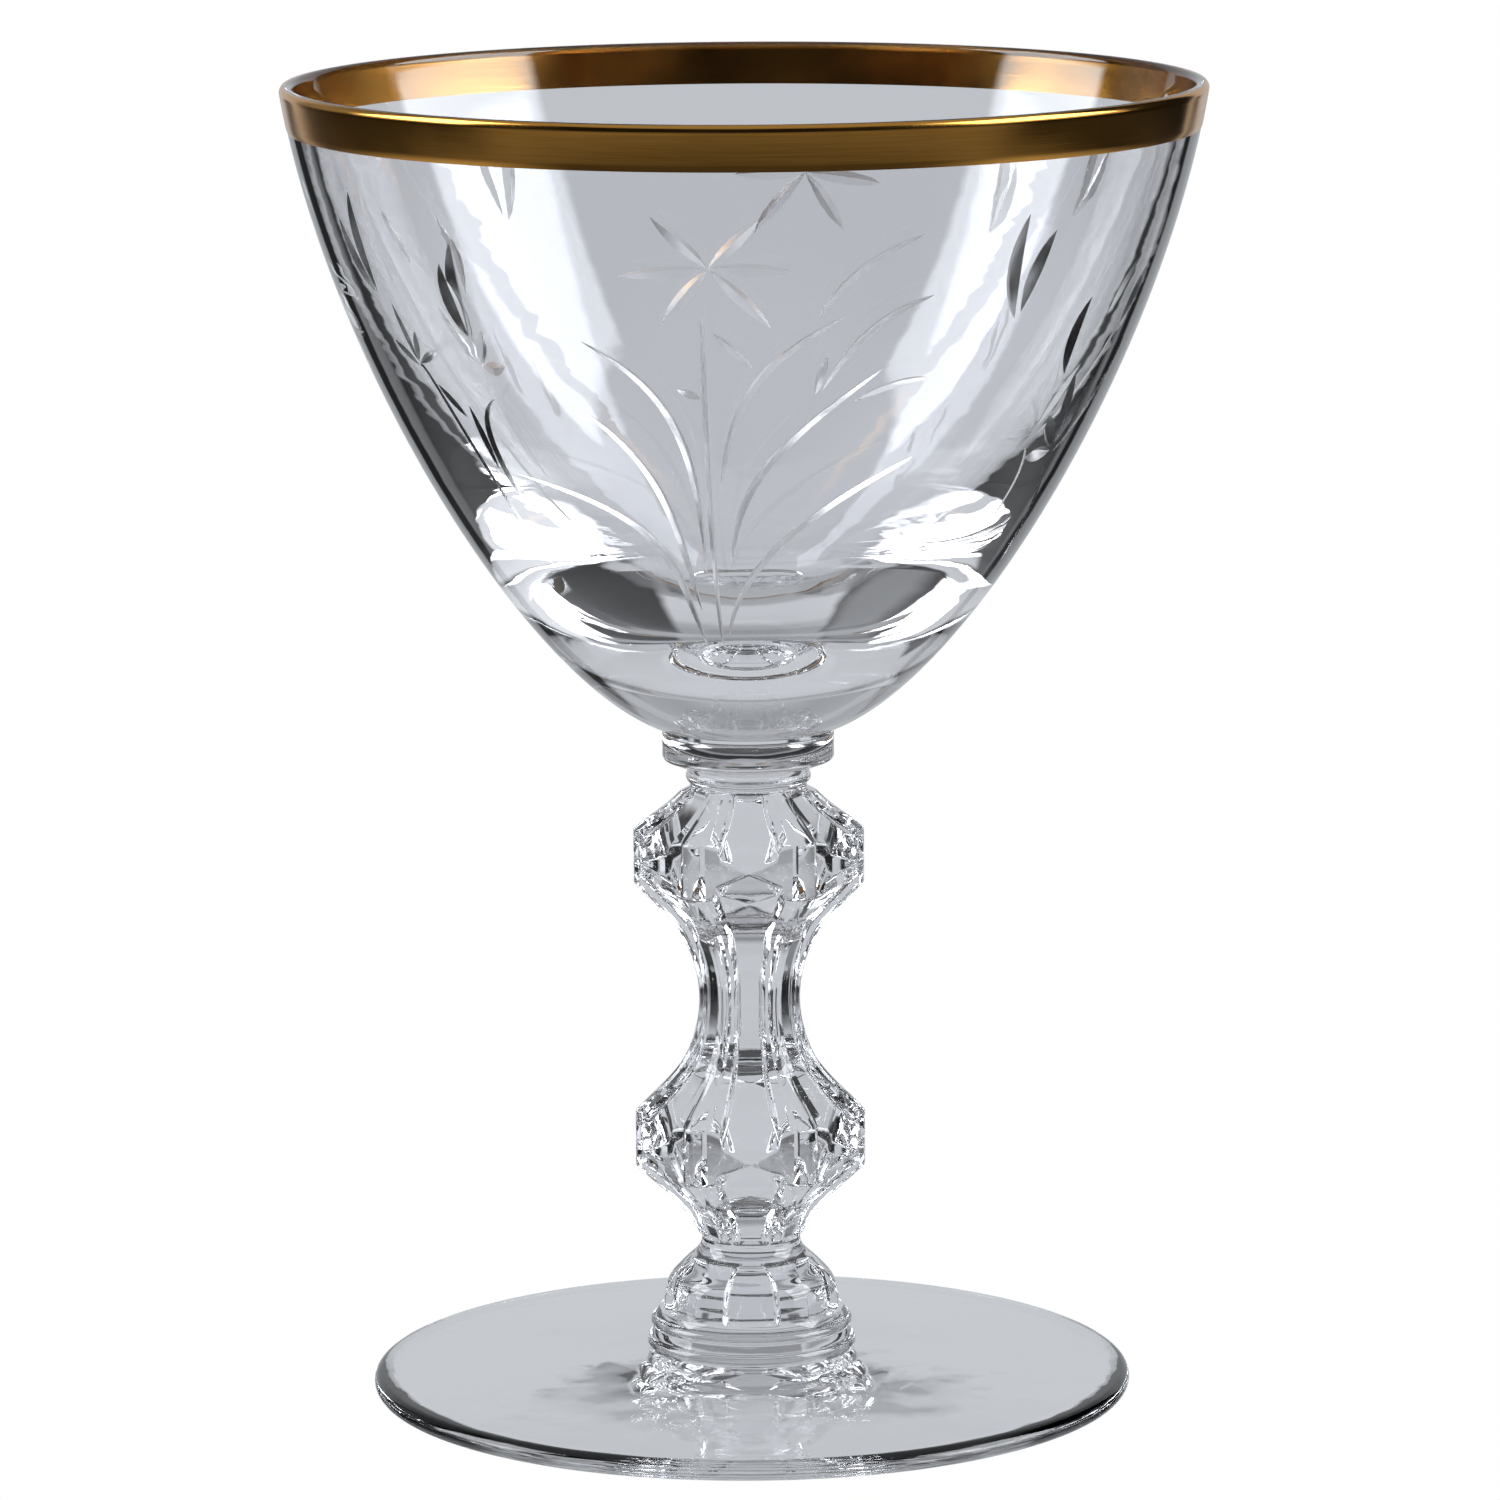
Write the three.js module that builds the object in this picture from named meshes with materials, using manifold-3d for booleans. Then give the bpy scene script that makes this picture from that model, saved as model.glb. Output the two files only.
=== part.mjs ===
// A stemmed cocktail glass of clear cut crystal with a gold band at the rim.
// Millimetres, +Z up. The origin lies on the glass's axis, on the surface it stands on,
// and the viewer stands on the -Y side.
//
// Six pieces, from the top down: the bowl, the gold film fired on its rim, the disc
// that joins the bowl to the stem, the pressed stem with its two knops and its bell,
// the ringed disc that joins the stem to the foot, and the foot.
// The glass pieces meet at flat faces, as they do where they are fused hot.

import * as THREE from 'three';
import { mergeVertices } from 'three/addons/utils/BufferGeometryUtils.js';
import Module from 'manifold-3d';

const wasm = await Module();
wasm.setup();

// Driving dimensions: the whole glass
const TOTAL_HEIGHT = 127;
const RIM_RADIUS = 43.9;
const FOOT_RADIUS = 36.7;

// Driving dimensions: how high the foot, the discs at the stem's ends and the bowl's base lie
const FOOT_TOP = 4.05;
const FOOT_MERESE_RISE = 3.8;
const BOWL_MERESE_RISE = 3.6;
const BOWL_BASE = 64.65;

const FOOT_MERESE_TOP = FOOT_TOP + FOOT_MERESE_RISE;
const STEM_TOP = BOWL_BASE - BOWL_MERESE_RISE;

// Driving dimensions: the bowl, its walls as two cubic curves with their pull points
const BOWL_BASE_RADIUS = 8.2;
const BOWL_FLARE_RADIUS = 8.25;
const BOWL_FLARE_RISE = 0.3;
const BASE_THICKNESS = 10;
const LIP_HALF_THICKNESS = 0.65;
const OUTER_LOWER_PULL = [21.5, BOWL_BASE + 5];
const OUTER_UPPER_PULL = [40, 101.85];
const INNER_LOWER_PULL_RADIUS = 20;
const INNER_UPPER_PULL = [36.6, 101.15];

// Driving dimensions: the gold band
const BAND_HEIGHT = 4.3;
const FILM_THICKNESS = 0.06;
const BAND_LIP_ANGLE = 65;

// Driving dimensions: the disc under the bowl
const MERESE_CHAMFER_RISE = 0.8;
const MERESE_EDGE_ROUNDING = 0.5;
const MERESE_EDGE_ARC = [-65, 0];
const MERESE_LAND_DROP = 0.2;

// Driving dimensions: the stem's collar, knops and waist
const COLLAR_RADIUS = 5.75;
const COLLAR_BELLY_RADIUS = 6;
const COLLAR_NECK_RADIUS = 5.7;
const COLLAR_HEIGHT = 1.5;
const COLLAR_BELLY = [0.3 * COLLAR_HEIGHT, 0.7 * COLLAR_HEIGHT];
const UPPER_GIRDLE = STEM_TOP - 8.2;
const LOWER_GIRDLE = FOOT_MERESE_TOP + 16.7;
const KNOP_TIP_RADIUS = 11.93;
const KNOP_LAND_RADIUS = 11.1;
const CUSP_RADIUS = 13.85;
const FLUTES = 6;
const FLUTE_DEPTH_RATIO = 0.865;
const RIB_HALF_WIDTH = 0.95;
const RIB_EDGE_DROP = 0.012;

// Driving dimensions: the stem's bell
const BELL_TOP = FOOT_MERESE_TOP + 7;
const BELL_NECK_RADIUS = 4.75;
const BELL_RADIUS = 8.5;
const BELL_FLUTE_TOP = BELL_TOP - 1.6;
const BELL_FLUTE_RAMP = 0.9;
const BELL_FLUTE_DEPTH = 0.9;
const BELL_FLUTE_HALF_ANGLE = 16.5;
const BELL_WALL_ANGLE = 2.5;

// The radii that the stem's six ridges pass through. The upper knop's shoulder is given by
// drops below the stem's top, the lower shoulder and the bell by rises above its bottom,
// and the waist by shares of the way from the upper girdle down to the lower one.
const SHOULDER_START = STEM_TOP - COLLAR_HEIGHT - 0.7;
const UPPER_SHOULDER = [
  [STEM_TOP - COLLAR_HEIGHT, COLLAR_NECK_RADIUS],
  [STEM_TOP - 2.9, 7.1],
  [STEM_TOP - 5.9, 10.95],
  [UPPER_GIRDLE, CUSP_RADIUS]
];
const WAIST_DROP = UPPER_GIRDLE - LOWER_GIRDLE;
const WAIST = [
  [UPPER_GIRDLE, CUSP_RADIUS],
  [UPPER_GIRDLE - 0.13 * WAIST_DROP, 10.35],
  [UPPER_GIRDLE - 0.255 * WAIST_DROP, 7.05],
  [UPPER_GIRDLE - 0.38 * WAIST_DROP, 5.3],
  [UPPER_GIRDLE - 0.49 * WAIST_DROP, 4.75],
  [UPPER_GIRDLE - 0.61 * WAIST_DROP, 5.1],
  [UPPER_GIRDLE - 0.73 * WAIST_DROP, 6.5],
  [UPPER_GIRDLE - 0.87 * WAIST_DROP, 10.1],
  [LOWER_GIRDLE, CUSP_RADIUS]
];
const SHOULDER_END = BELL_TOP + 0.4;
const LOWER_SHOULDER = [
  [LOWER_GIRDLE, CUSP_RADIUS],
  [FOOT_MERESE_TOP + 13.3, 10.1],
  [FOOT_MERESE_TOP + 10.3, 6.95],
  [FOOT_MERESE_TOP + 8.3, 5.35],
  [BELL_TOP, BELL_NECK_RADIUS]
];
const BELL = [
  [BELL_TOP, BELL_NECK_RADIUS],
  [BELL_TOP - 0.8, 4.95],
  [FOOT_MERESE_TOP + 4.4, 6.7],
  [FOOT_MERESE_TOP + 3.1, 7.85],
  [FOOT_MERESE_TOP + 1.4, 8.4],
  [FOOT_MERESE_TOP, BELL_RADIUS]
];

// Driving dimensions: the ringed disc over the foot, its ring below and its bead above
const RING_RADIUS = 10.13;
const RING_SIZE = 0.78;
const RING_HEIGHT = FOOT_TOP + 0.6;
const RING_ARC = [-40, 60];
const BEAD_RADIUS = 9.75;
const BEAD_SIZE = 0.65;
const BEAD_HEIGHT = FOOT_TOP + 2.55;
const BEAD_ARC = [-50, 60];
const BEAD_SEAT_RADIUS = 8.8;

// Driving dimensions: the foot
const FOOT_SEAT_RADIUS = 9.9;
const FOOT_EDGE_ROUNDING = 0.95;
const FOOT_EDGE_LIFT = 0.1;
const FOOT_EDGE_ARC = [-60, 80];
const FOOT_SLOPE = [[23.5, FOOT_TOP - 1.3], [14, FOOT_TOP - 0.45]];
const REST_INNER_RADIUS = 29.5;
const REST_OUTER_RADIUS = 35.2;
const UNDERSIDE_RISE = 1;

// How finely the forms are divided
const ROUND_STEPS = 60;
const WALL_STEPS = 12;
const LIP_STEPS = 6;
const EDGE_STEPS = 4;
const DISH_STEPS = 3;
const FLUTE_COLUMNS = 8;
const SHOULDER_ROWS = 6;
const WAIST_ROWS = 18;
const BELL_ROWS = 5;
const WELD = 1e-4;

const CRYSTAL = ['#d3d3dd', 0.03, 0];
const GOLD = ['#b07a33', 0.2, 1];

const radians = THREE.MathUtils.degToRad;
const degrees = THREE.MathUtils.radToDeg;
const point = (radius, height) => new THREE.Vector2(radius, height);

// A number of values spread evenly over a stretch, without its far end
function spread(from, to, count) {
  return Array.from({ length: count }, (unused, i) => from + ((to - from) * i) / count);
}

// Points along a circular arc in the profile plane, from one angle to another in degrees
function arc(radius, height, size, [from, to], count) {
  return [...spread(from, to, count), to].map((angle) => {
    const turn = radians(angle);
    return point(radius + size * Math.cos(turn), height + size * Math.sin(turn));
  });
}

// A round piece from its profile, turned so that its axis stands along Z
function turned(profile) {
  return new THREE.LatheGeometry(profile, ROUND_STEPS).rotateX(Math.PI / 2);
}

function named(name, geometry, colour, roughness, metalness) {
  const material = new THREE.MeshStandardMaterial({ color: colour, roughness, metalness });
  const mesh = new THREE.Mesh(geometry, material);
  mesh.name = name;
  return mesh;
}

// The bowl: one cubic curve outside and one inside, joined by a rounded lip
const lipHeight = TOTAL_HEIGHT - LIP_HALF_THICKNESS;
const lipRadius = RIM_RADIUS - LIP_HALF_THICKNESS;
const innerFloor = BOWL_BASE + BASE_THICKNESS;

const outerWall = new THREE.CubicBezierCurve(
  point(BOWL_FLARE_RADIUS, BOWL_BASE + BOWL_FLARE_RISE),
  point(...OUTER_LOWER_PULL),
  point(...OUTER_UPPER_PULL),
  point(RIM_RADIUS, lipHeight)
);

const innerWall = new THREE.CubicBezierCurve(
  point(lipRadius - LIP_HALF_THICKNESS, lipHeight),
  point(...INNER_UPPER_PULL),
  point(INNER_LOWER_PULL_RADIUS, innerFloor),
  point(0, innerFloor)
);

// The place on a rising curve, from 0 to 1, that lies at a given height
function placeAt(curve, height) {
  let low = 0;
  let high = 1;
  while (high - low > WELD) {
    const middle = (low + high) / 2;
    if (curve.getPoint(middle).y < height) low = middle;
    else high = middle;
  }
  return low;
}

const bandStart = placeAt(outerWall, TOTAL_HEIGHT - BAND_HEIGHT);
const wallBelowBand = spread(0, bandStart, WALL_STEPS).map((t) => outerWall.getPoint(t));
const wallUnderBand = spread(bandStart, 1, 2).map((t) => outerWall.getPoint(t));
const lip = arc(lipRadius, lipHeight, LIP_HALF_THICKNESS, [0, 180], LIP_STEPS);

const bowlProfile = [
  point(0, BOWL_BASE),
  point(BOWL_BASE_RADIUS, BOWL_BASE),
  ...wallBelowBand,
  ...wallUnderBand,
  ...lip,
  ...innerWall.getPoints(WALL_STEPS).slice(1)
];

// The gold film follows the outer wall and laps over the outer side of the lip
const lapped = lip.filter((unused, i) => (180 * i) / LIP_STEPS < BAND_LIP_ANGLE);
const filmInside = [...wallUnderBand, ...lapped];
const filmOutside = filmInside.map((p, i) => {
  const before = filmInside[Math.max(i - 1, 0)];
  const after = filmInside[Math.min(i + 1, filmInside.length - 1)];
  const along = after.clone().sub(before).normalize();
  return point(p.x + FILM_THICKNESS * along.y, p.y - FILM_THICKNESS * along.x);
});
const bandProfile = [...filmOutside, ...filmInside.slice().reverse(), filmOutside[0]];

// The disc under the bowl: an upright edge, rounded below into a chamfer that runs
// down to the stem's collar
const mereseRounding = [
  BOWL_FLARE_RADIUS - MERESE_EDGE_ROUNDING,
  STEM_TOP + MERESE_CHAMFER_RISE + MERESE_EDGE_ROUNDING
];
const bowlMereseProfile = [
  point(0, STEM_TOP),
  point(COLLAR_RADIUS, STEM_TOP),
  ...arc(...mereseRounding, MERESE_EDGE_ROUNDING, MERESE_EDGE_ARC, EDGE_STEPS),
  point(BOWL_FLARE_RADIUS, BOWL_BASE - MERESE_LAND_DROP),
  point(BOWL_BASE_RADIUS, BOWL_BASE),
  point(0, BOWL_BASE)
];

// A radius read between stations of height and radius, which run up or down, by a
// cubic that passes through each of them
function between(stations, height) {
  const last = stations.length - 1;
  const way = Math.sign(stations[last][0] - stations[0][0]);
  let k = 0;
  while (k < last - 1 && way * height > way * stations[k + 1][0]) k++;
  const slope = (i) => {
    const a = stations[Math.max(i - 1, 0)];
    const b = stations[Math.min(i + 1, last)];
    return (b[1] - a[1]) / (b[0] - a[0]);
  };
  const [startHeight, startRadius] = stations[k];
  const [endHeight, endRadius] = stations[k + 1];
  const span = endHeight - startHeight;
  const t = (height - startHeight) / span;
  return (
    startRadius * (1 + 2 * t) * (1 - t) ** 2 +
    slope(k) * span * t * (1 - t) ** 2 +
    endRadius * t * t * (3 - 2 * t) +
    slope(k + 1) * span * t * t * (t - 1)
  );
}

// Rows of the stem from its top down, each with its height and the radius of its ridges.
// A row is round, fluted, or panelled as on the bell.
const row = (kind, z, ridge) => ({ kind, z, ridge });
const stretch = (kind, stations, from, to, count) =>
  spread(from, to, count).map((z) => row(kind, z, between(stations, z)));

const stemRows = [
  row('round', STEM_TOP, COLLAR_RADIUS),
  ...COLLAR_BELLY.map((drop) => row('round', STEM_TOP - drop, COLLAR_BELLY_RADIUS)),
  row('round', STEM_TOP - COLLAR_HEIGHT, COLLAR_NECK_RADIUS),
  ...stretch('fluted', UPPER_SHOULDER, SHOULDER_START, UPPER_GIRDLE, SHOULDER_ROWS),
  ...stretch('fluted', WAIST, UPPER_GIRDLE, LOWER_GIRDLE, WAIST_ROWS),
  ...stretch('fluted', LOWER_SHOULDER, LOWER_GIRDLE, SHOULDER_END, SHOULDER_ROWS),
  ...stretch('round', BELL, BELL_TOP, BELL_FLUTE_TOP, 2),
  ...stretch('panelled', BELL, BELL_FLUTE_TOP, FOOT_MERESE_TOP, BELL_ROWS),
  row('panelled', FOOT_MERESE_TOP, BELL_RADIUS)
];

// The stem's outline in half a flute's share of the turn, from the middle of a flute to
// the ridge beside it: the angle and the radius of five points.
// A flute on the knops and the waist is a hollow that rises to the edge of the narrow
// rib on the ridge. A panel on the bell is sunk between rounded lands, with upright walls.
function halfFlute({ kind, z, ridge }) {
  const half = 180 / FLUTES;
  if (kind === 'panelled') {
    const ramp = Math.min(1, (BELL_FLUTE_TOP - z) / BELL_FLUTE_RAMP);
    const sunk = ridge - BELL_FLUTE_DEPTH * ramp;
    return [
      [0, sunk],
      [BELL_FLUTE_HALF_ANGLE / 2, sunk],
      [BELL_FLUTE_HALF_ANGLE, sunk],
      [BELL_FLUTE_HALF_ANGLE + BELL_WALL_ANGLE, ridge],
      [half, ridge]
    ];
  }
  const cut = kind === 'fluted' ? 1 : 0;
  const rib = degrees(Math.asin(RIB_HALF_WIDTH / ridge));
  const edge = half - rib;
  const hollow = (share) => ridge * (1 - cut * (1 - FLUTE_DEPTH_RATIO) * (1 - share ** 2));
  return [
    [0, hollow(0)],
    [edge / 2, hollow(1 / 2)],
    [edge, ridge * (1 - RIB_EDGE_DROP * cut)],
    [edge + rib / 2, ridge],
    [half, ridge]
  ];
}

// A round blank whose points are moved in to the stem's six-fold outline
function stemBlank() {
  const columns = FLUTES * FLUTE_COLUMNS;
  const profile = [
    point(0, FOOT_MERESE_TOP),
    ...stemRows.map(({ z, ridge }) => point(ridge, z)).reverse(),
    point(0, STEM_TOP)
  ];
  const outlines = stemRows.map(halfFlute).reverse();
  const blank = new THREE.LatheGeometry(profile, columns).rotateX(Math.PI / 2);
  const place = blank.getAttribute('position');
  for (let column = 0; column <= columns; column++) {
    const step = column % FLUTE_COLUMNS;
    const mirrored = step > FLUTE_COLUMNS / 2;
    const flute = Math.floor((column % columns) / FLUTE_COLUMNS) + (mirrored ? 1 : 0);
    outlines.forEach((outline, i) => {
      const [angle, radius] = outline[mirrored ? FLUTE_COLUMNS - step : step];
      const turn = radians((360 / FLUTES) * flute + (mirrored ? -angle : angle));
      const index = column * profile.length + i + 1;
      place.setX(index, radius * Math.sin(turn));
      place.setY(index, -radius * Math.cos(turn));
    });
  }
  return blank;
}

// A geometry as a solid that can be joined and cut: its corners welded, and triangles
// that have closed up at the axis left out
function solid(geometry) {
  const bare = geometry.clone();
  for (const name of Object.keys(bare.attributes)) {
    if (name !== 'position') bare.deleteAttribute(name);
  }
  const welded = mergeVertices(bare, WELD);
  const corners = welded.index.array;
  const kept = [];
  for (let i = 0; i < corners.length; i += 3) {
    const [a, b, c] = corners.slice(i, i + 3);
    if (a !== b && b !== c && c !== a) kept.push(a, b, c);
  }
  const mesh = new wasm.Mesh({
    numProp: 3,
    vertProperties: new Float32Array(welded.getAttribute('position').array),
    triVerts: new Uint32Array(kept)
  });
  return new wasm.Manifold(mesh);
}

function geometryOf(manifold) {
  const mesh = manifold.getMesh();
  const geometry = new THREE.BufferGeometry();
  geometry.setAttribute('position', new THREE.BufferAttribute(mesh.vertProperties, 3));
  geometry.setIndex(new THREE.BufferAttribute(mesh.triVerts, 1));
  geometry.computeVertexNormals();
  return geometry;
}

// The girdles of both knops are what an upright prism leaves of the flutes' ends: six
// tips where the flutes above and below meet, and between them lands with a narrow strip
function girdlePrism() {
  const strip = Math.asin(RIB_HALF_WIDTH / KNOP_LAND_RADIUS);
  const corners = spread(0, 2 * Math.PI, FLUTES).flatMap((turn) => {
    const tip = turn - Math.PI / 2;
    const land = tip + Math.PI / FLUTES;
    return [[KNOP_TIP_RADIUS, tip], [KNOP_LAND_RADIUS, land - strip], [KNOP_LAND_RADIUS, land + strip]];
  });
  const outline = corners.map(([size, turn]) => point(size * Math.cos(turn), size * Math.sin(turn)));
  return new THREE.ExtrudeGeometry(new THREE.Shape(outline), { depth: TOTAL_HEIGHT, bevelEnabled: false });
}

const stem = geometryOf(solid(stemBlank()).intersect(solid(girdlePrism())));

// The ringed disc over the foot: a thin bead above a fuller ring
const footMereseProfile = [
  point(0, FOOT_TOP),
  point(FOOT_SEAT_RADIUS, FOOT_TOP),
  ...arc(RING_RADIUS - RING_SIZE, RING_HEIGHT, RING_SIZE, RING_ARC, EDGE_STEPS),
  ...arc(BEAD_RADIUS - BEAD_SIZE, BEAD_HEIGHT, BEAD_SIZE, BEAD_ARC, EDGE_STEPS),
  point(BEAD_SEAT_RADIUS, FOOT_MERESE_TOP),
  point(0, FOOT_MERESE_TOP)
];

// The foot: a shallow cone with a rounded edge, dished a little underneath so that it
// rests on a flat ring
const dish = new THREE.QuadraticBezierCurve(
  point(0, UNDERSIDE_RISE),
  point(REST_INNER_RADIUS / 2, UNDERSIDE_RISE),
  point(REST_INNER_RADIUS, 0)
);
const edgeCentre = [FOOT_RADIUS - FOOT_EDGE_ROUNDING, FOOT_EDGE_ROUNDING + FOOT_EDGE_LIFT];
const footProfile = [
  ...dish.getPoints(DISH_STEPS),
  point(REST_OUTER_RADIUS, 0),
  ...arc(...edgeCentre, FOOT_EDGE_ROUNDING, FOOT_EDGE_ARC, EDGE_STEPS),
  ...FOOT_SLOPE.map(([radius, height]) => point(radius, height)),
  point(FOOT_SEAT_RADIUS, FOOT_TOP),
  point(0, FOOT_TOP)
];

const glass = new THREE.Group();
glass.add(
  named('bowl', turned(bowlProfile), ...CRYSTAL),
  named('rim_band', turned(bandProfile), ...GOLD),
  named('bowl_merese', turned(bowlMereseProfile), ...CRYSTAL),
  named('stem', stem, ...CRYSTAL),
  named('foot_merese', turned(footMereseProfile), ...CRYSTAL),
  named('foot', turned(footProfile), ...CRYSTAL)
);

export default glass;
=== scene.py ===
# %% [markdown]
# # A cut crystal cocktail glass with a gold band
#
# The glass is six real pieces: a blown bowl, a film of gold fired on its rim, a disc
# under the bowl, a pressed stem with two knops and a bell, a ringed disc, and the foot.
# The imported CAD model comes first, because every piece below is made to sit exactly
# where its solid sits. Blender works in metres; the drawing sizes here are millimetres.

# %% The fixed frame
import math

import bmesh
import bpy
import numpy as np
from mathutils import Matrix
from mathutils.geometry import delaunay_2d_cdt


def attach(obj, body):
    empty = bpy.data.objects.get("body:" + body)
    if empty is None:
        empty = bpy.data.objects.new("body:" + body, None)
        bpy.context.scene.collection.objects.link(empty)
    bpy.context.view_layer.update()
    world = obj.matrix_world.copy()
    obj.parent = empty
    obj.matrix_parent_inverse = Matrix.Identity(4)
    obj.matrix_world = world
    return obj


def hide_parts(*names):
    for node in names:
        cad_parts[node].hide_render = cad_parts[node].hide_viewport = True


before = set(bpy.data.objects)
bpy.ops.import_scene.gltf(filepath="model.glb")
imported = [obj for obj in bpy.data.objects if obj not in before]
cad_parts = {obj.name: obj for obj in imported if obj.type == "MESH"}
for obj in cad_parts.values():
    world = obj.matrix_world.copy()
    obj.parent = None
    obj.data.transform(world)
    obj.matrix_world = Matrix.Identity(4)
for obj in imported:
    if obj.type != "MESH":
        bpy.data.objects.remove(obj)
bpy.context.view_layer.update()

MM = 0.001
print("CAD nodes:", ", ".join(sorted(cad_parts)))

# %% [markdown]
# ## The sizes that the pieces share
#
# A glass is drawn as half of its outline. These are the heights where one piece is
# fused to the next, and the radii there, so that neighbours meet without a step.

# %% Shared sizes
TOTAL_HEIGHT = 127.0
RIM_RADIUS = 43.9
LIP_HALF_THICKNESS = 0.65
BOWL_BASE = 64.65
STEM_TOP = 61.05
FOOT_MERESE_TOP = 7.85
FOOT_TOP = 4.05
BOWL_SEAT = 8.2
COLLAR_SEAT = 5.75
FOOT_SEAT = 9.9
COLUMNS = 288
print(f"glass {TOTAL_HEIGHT:.0f} mm tall, {2 * RIM_RADIUS:.1f} mm across its rim")

# %% [markdown]
# ## Turned surfaces
#
# Most of a wine glass is a body of revolution, because it is shaped while it turns on
# the glassmaker's iron. Here such a body is a grid: one direction runs up the outline,
# the other runs round the axis. Azimuth 0 faces the viewer, and grows to the right.

# %% Points round the axis
def around(radius, azimuth, height):
    """A point at a distance from the axis, turned by the azimuth from the viewer's
    side: x is radius times sine, y is minus radius times cosine, z is the height."""
    radius, azimuth, height = np.broadcast_arrays(radius, azimuth, height)
    return np.stack([radius * np.sin(azimuth), -radius * np.cos(azimuth), height], -1)


def turned(profile, azimuths):
    """Each point of an outline, as radius and height, carried round to every azimuth."""
    return around(profile[:, 0, None], azimuths, profile[:, 1, None])


# %% The faces between the points of a grid
def grid_quads(rows, columns, first=0, loop=False):
    """Corner numbers of the cells of a grid stored row by row. Each row closes on
    itself; with loop the last row also joins the first."""
    bands = rows if loop else rows - 1
    row, column = np.meshgrid(np.arange(bands), np.arange(columns), indexing="ij")
    above, beside = (row + 1) % rows, (column + 1) % columns
    corners = [row * columns + column, row * columns + beside,
               above * columns + beside, above * columns + column]
    return first + np.stack(corners, -1).reshape(-1, 4)


def poled_grid(rings, bottom, top):
    """Points and faces of rings stacked from a pole at the bottom to one at the top.
    The faces come as a fan, the bands between the rings, and a closing fan."""
    rows, columns = rings.shape[:2]
    points = np.vstack([[[0, 0, bottom]], rings.reshape(-1, 3), [[0, 0, top]]])
    here = 1 + np.arange(columns)
    beside = np.roll(here, -1)
    last = (rows - 1) * columns
    low = np.stack([np.zeros_like(here), beside, here], -1)
    high = np.stack([here + last, beside + last, np.full_like(here, len(points) - 1)], -1)
    return points, low, grid_quads(rows, columns, 1), high


# %% From points and faces to a piece
SAME_PLACE = 1e-4


def put_in_scene(name, data):
    """An object that holds the data, linked to the scene."""
    made = bpy.data.objects.new(name, data)
    bpy.context.collection.objects.link(made)
    return made


def make_piece(name, points, faces, materials, sharp=30.0, pinched=False):
    """A mesh object from points in millimetres and a list of (corner numbers, slot),
    shaded smooth except across edges that fold by more than sharp degrees. In a pinched
    piece, rows run together in a point, and the points there are merged."""
    sizes = np.concatenate([np.full(len(f), f.shape[1]) for f, _ in faces])
    slots = np.concatenate([np.broadcast_to(slot, len(f)) for f, slot in faces])
    corners = np.concatenate([f.ravel() for f, _ in faces])
    mesh = bpy.data.meshes.new(name)
    mesh.vertices.add(len(points))
    mesh.vertices.foreach_set("co", (np.asarray(points) * MM).astype(np.float32).ravel())
    mesh.loops.add(len(corners))
    mesh.loops.foreach_set("vertex_index", corners.astype(np.int32))
    mesh.polygons.add(len(sizes))
    mesh.polygons.foreach_set("loop_start", (np.cumsum(sizes) - sizes).astype(np.int32))
    mesh.polygons.foreach_set("material_index", slots.astype(np.int32))
    mesh.polygons.foreach_set("use_smooth", np.ones(len(sizes), bool))
    mesh.update(calc_edges=True)
    if pinched:
        merged = bmesh.new()
        merged.from_mesh(mesh)
        bmesh.ops.remove_doubles(merged, verts=merged.verts, dist=SAME_PLACE * MM)
        merged.to_mesh(mesh)
        merged.free()
    mesh.set_sharp_from_angle(angle=math.radians(sharp))
    for material in materials:
        mesh.materials.append(material)
    print(f"{name}: {len(mesh.vertices)} points, {len(mesh.loops) - 2 * len(mesh.polygons)} triangles")
    return put_in_scene(name, mesh)


# %% The curves of an outline
def cubic(start, pull, other_pull, end, count):
    """Points on a cubic curve: the mean of its two ends and the two points that pull it,
    weighted by the four terms of the cube of (1 - t) plus t, as t goes from 0 to 1."""
    t = np.linspace(0, 1, count)[:, None]
    a, b, c, d = (np.array(p, float) for p in (start, pull, other_pull, end))
    return (1 - t) ** 3 * a + 3 * (1 - t) ** 2 * t * b + 3 * (1 - t) * t ** 2 * c + t ** 3 * d


def arc(radius, height, size, start, end, count):
    """Points on a circular arc in the outline, between two angles in degrees: its middle
    plus its size times the cosine and the sine of the angle."""
    turn = np.radians(np.linspace(start, end, count))
    return np.stack([radius + size * np.cos(turn), height + size * np.sin(turn)], -1)


def along(line):
    """The distance from the start of a line of points to each of them."""
    steps = np.linalg.norm(np.diff(line, axis=0), axis=1)
    return np.concatenate([[0], np.cumsum(steps)])


def evenly(line, step):
    """The same line with its points spread evenly, about one step apart."""
    run = along(line)
    places = np.linspace(0, run[-1], max(2, round(run[-1] / step) + 1))
    return np.stack([np.interp(places, run, line[:, k]) for k in range(2)], -1)


# %% [markdown]
# ## Materials
#
# One small function adds a node. Colours are written as sRGB hex, as a designer picks
# them, and turned to the linear values that the renderer works with.

# %% Colour and node helpers
WHITE = (1, 1, 1, 1)


def paint(hex_colour):
    """An sRGB hex colour as a linear colour with full opacity."""
    share = np.array([int(hex_colour[i:i + 2], 16) for i in (1, 3, 5)]) / 255
    linear = np.where(share <= 0.04045, share / 12.92, ((share + 0.055) / 1.055) ** 2.4)
    return (*linear.tolist(), 1.0)


def add(tree, kind, inputs=(), **settings):
    """Adds a node, sets its properties, and fills its sockets with values or links."""
    made = tree.nodes.new(kind)
    for name, value in settings.items():
        setattr(made, name, value)
    for name, value in dict(inputs).items():
        if isinstance(value, bpy.types.NodeSocket):
            tree.links.new(value, made.inputs[name])
        else:
            made.inputs[name].default_value = value
    return made


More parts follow.
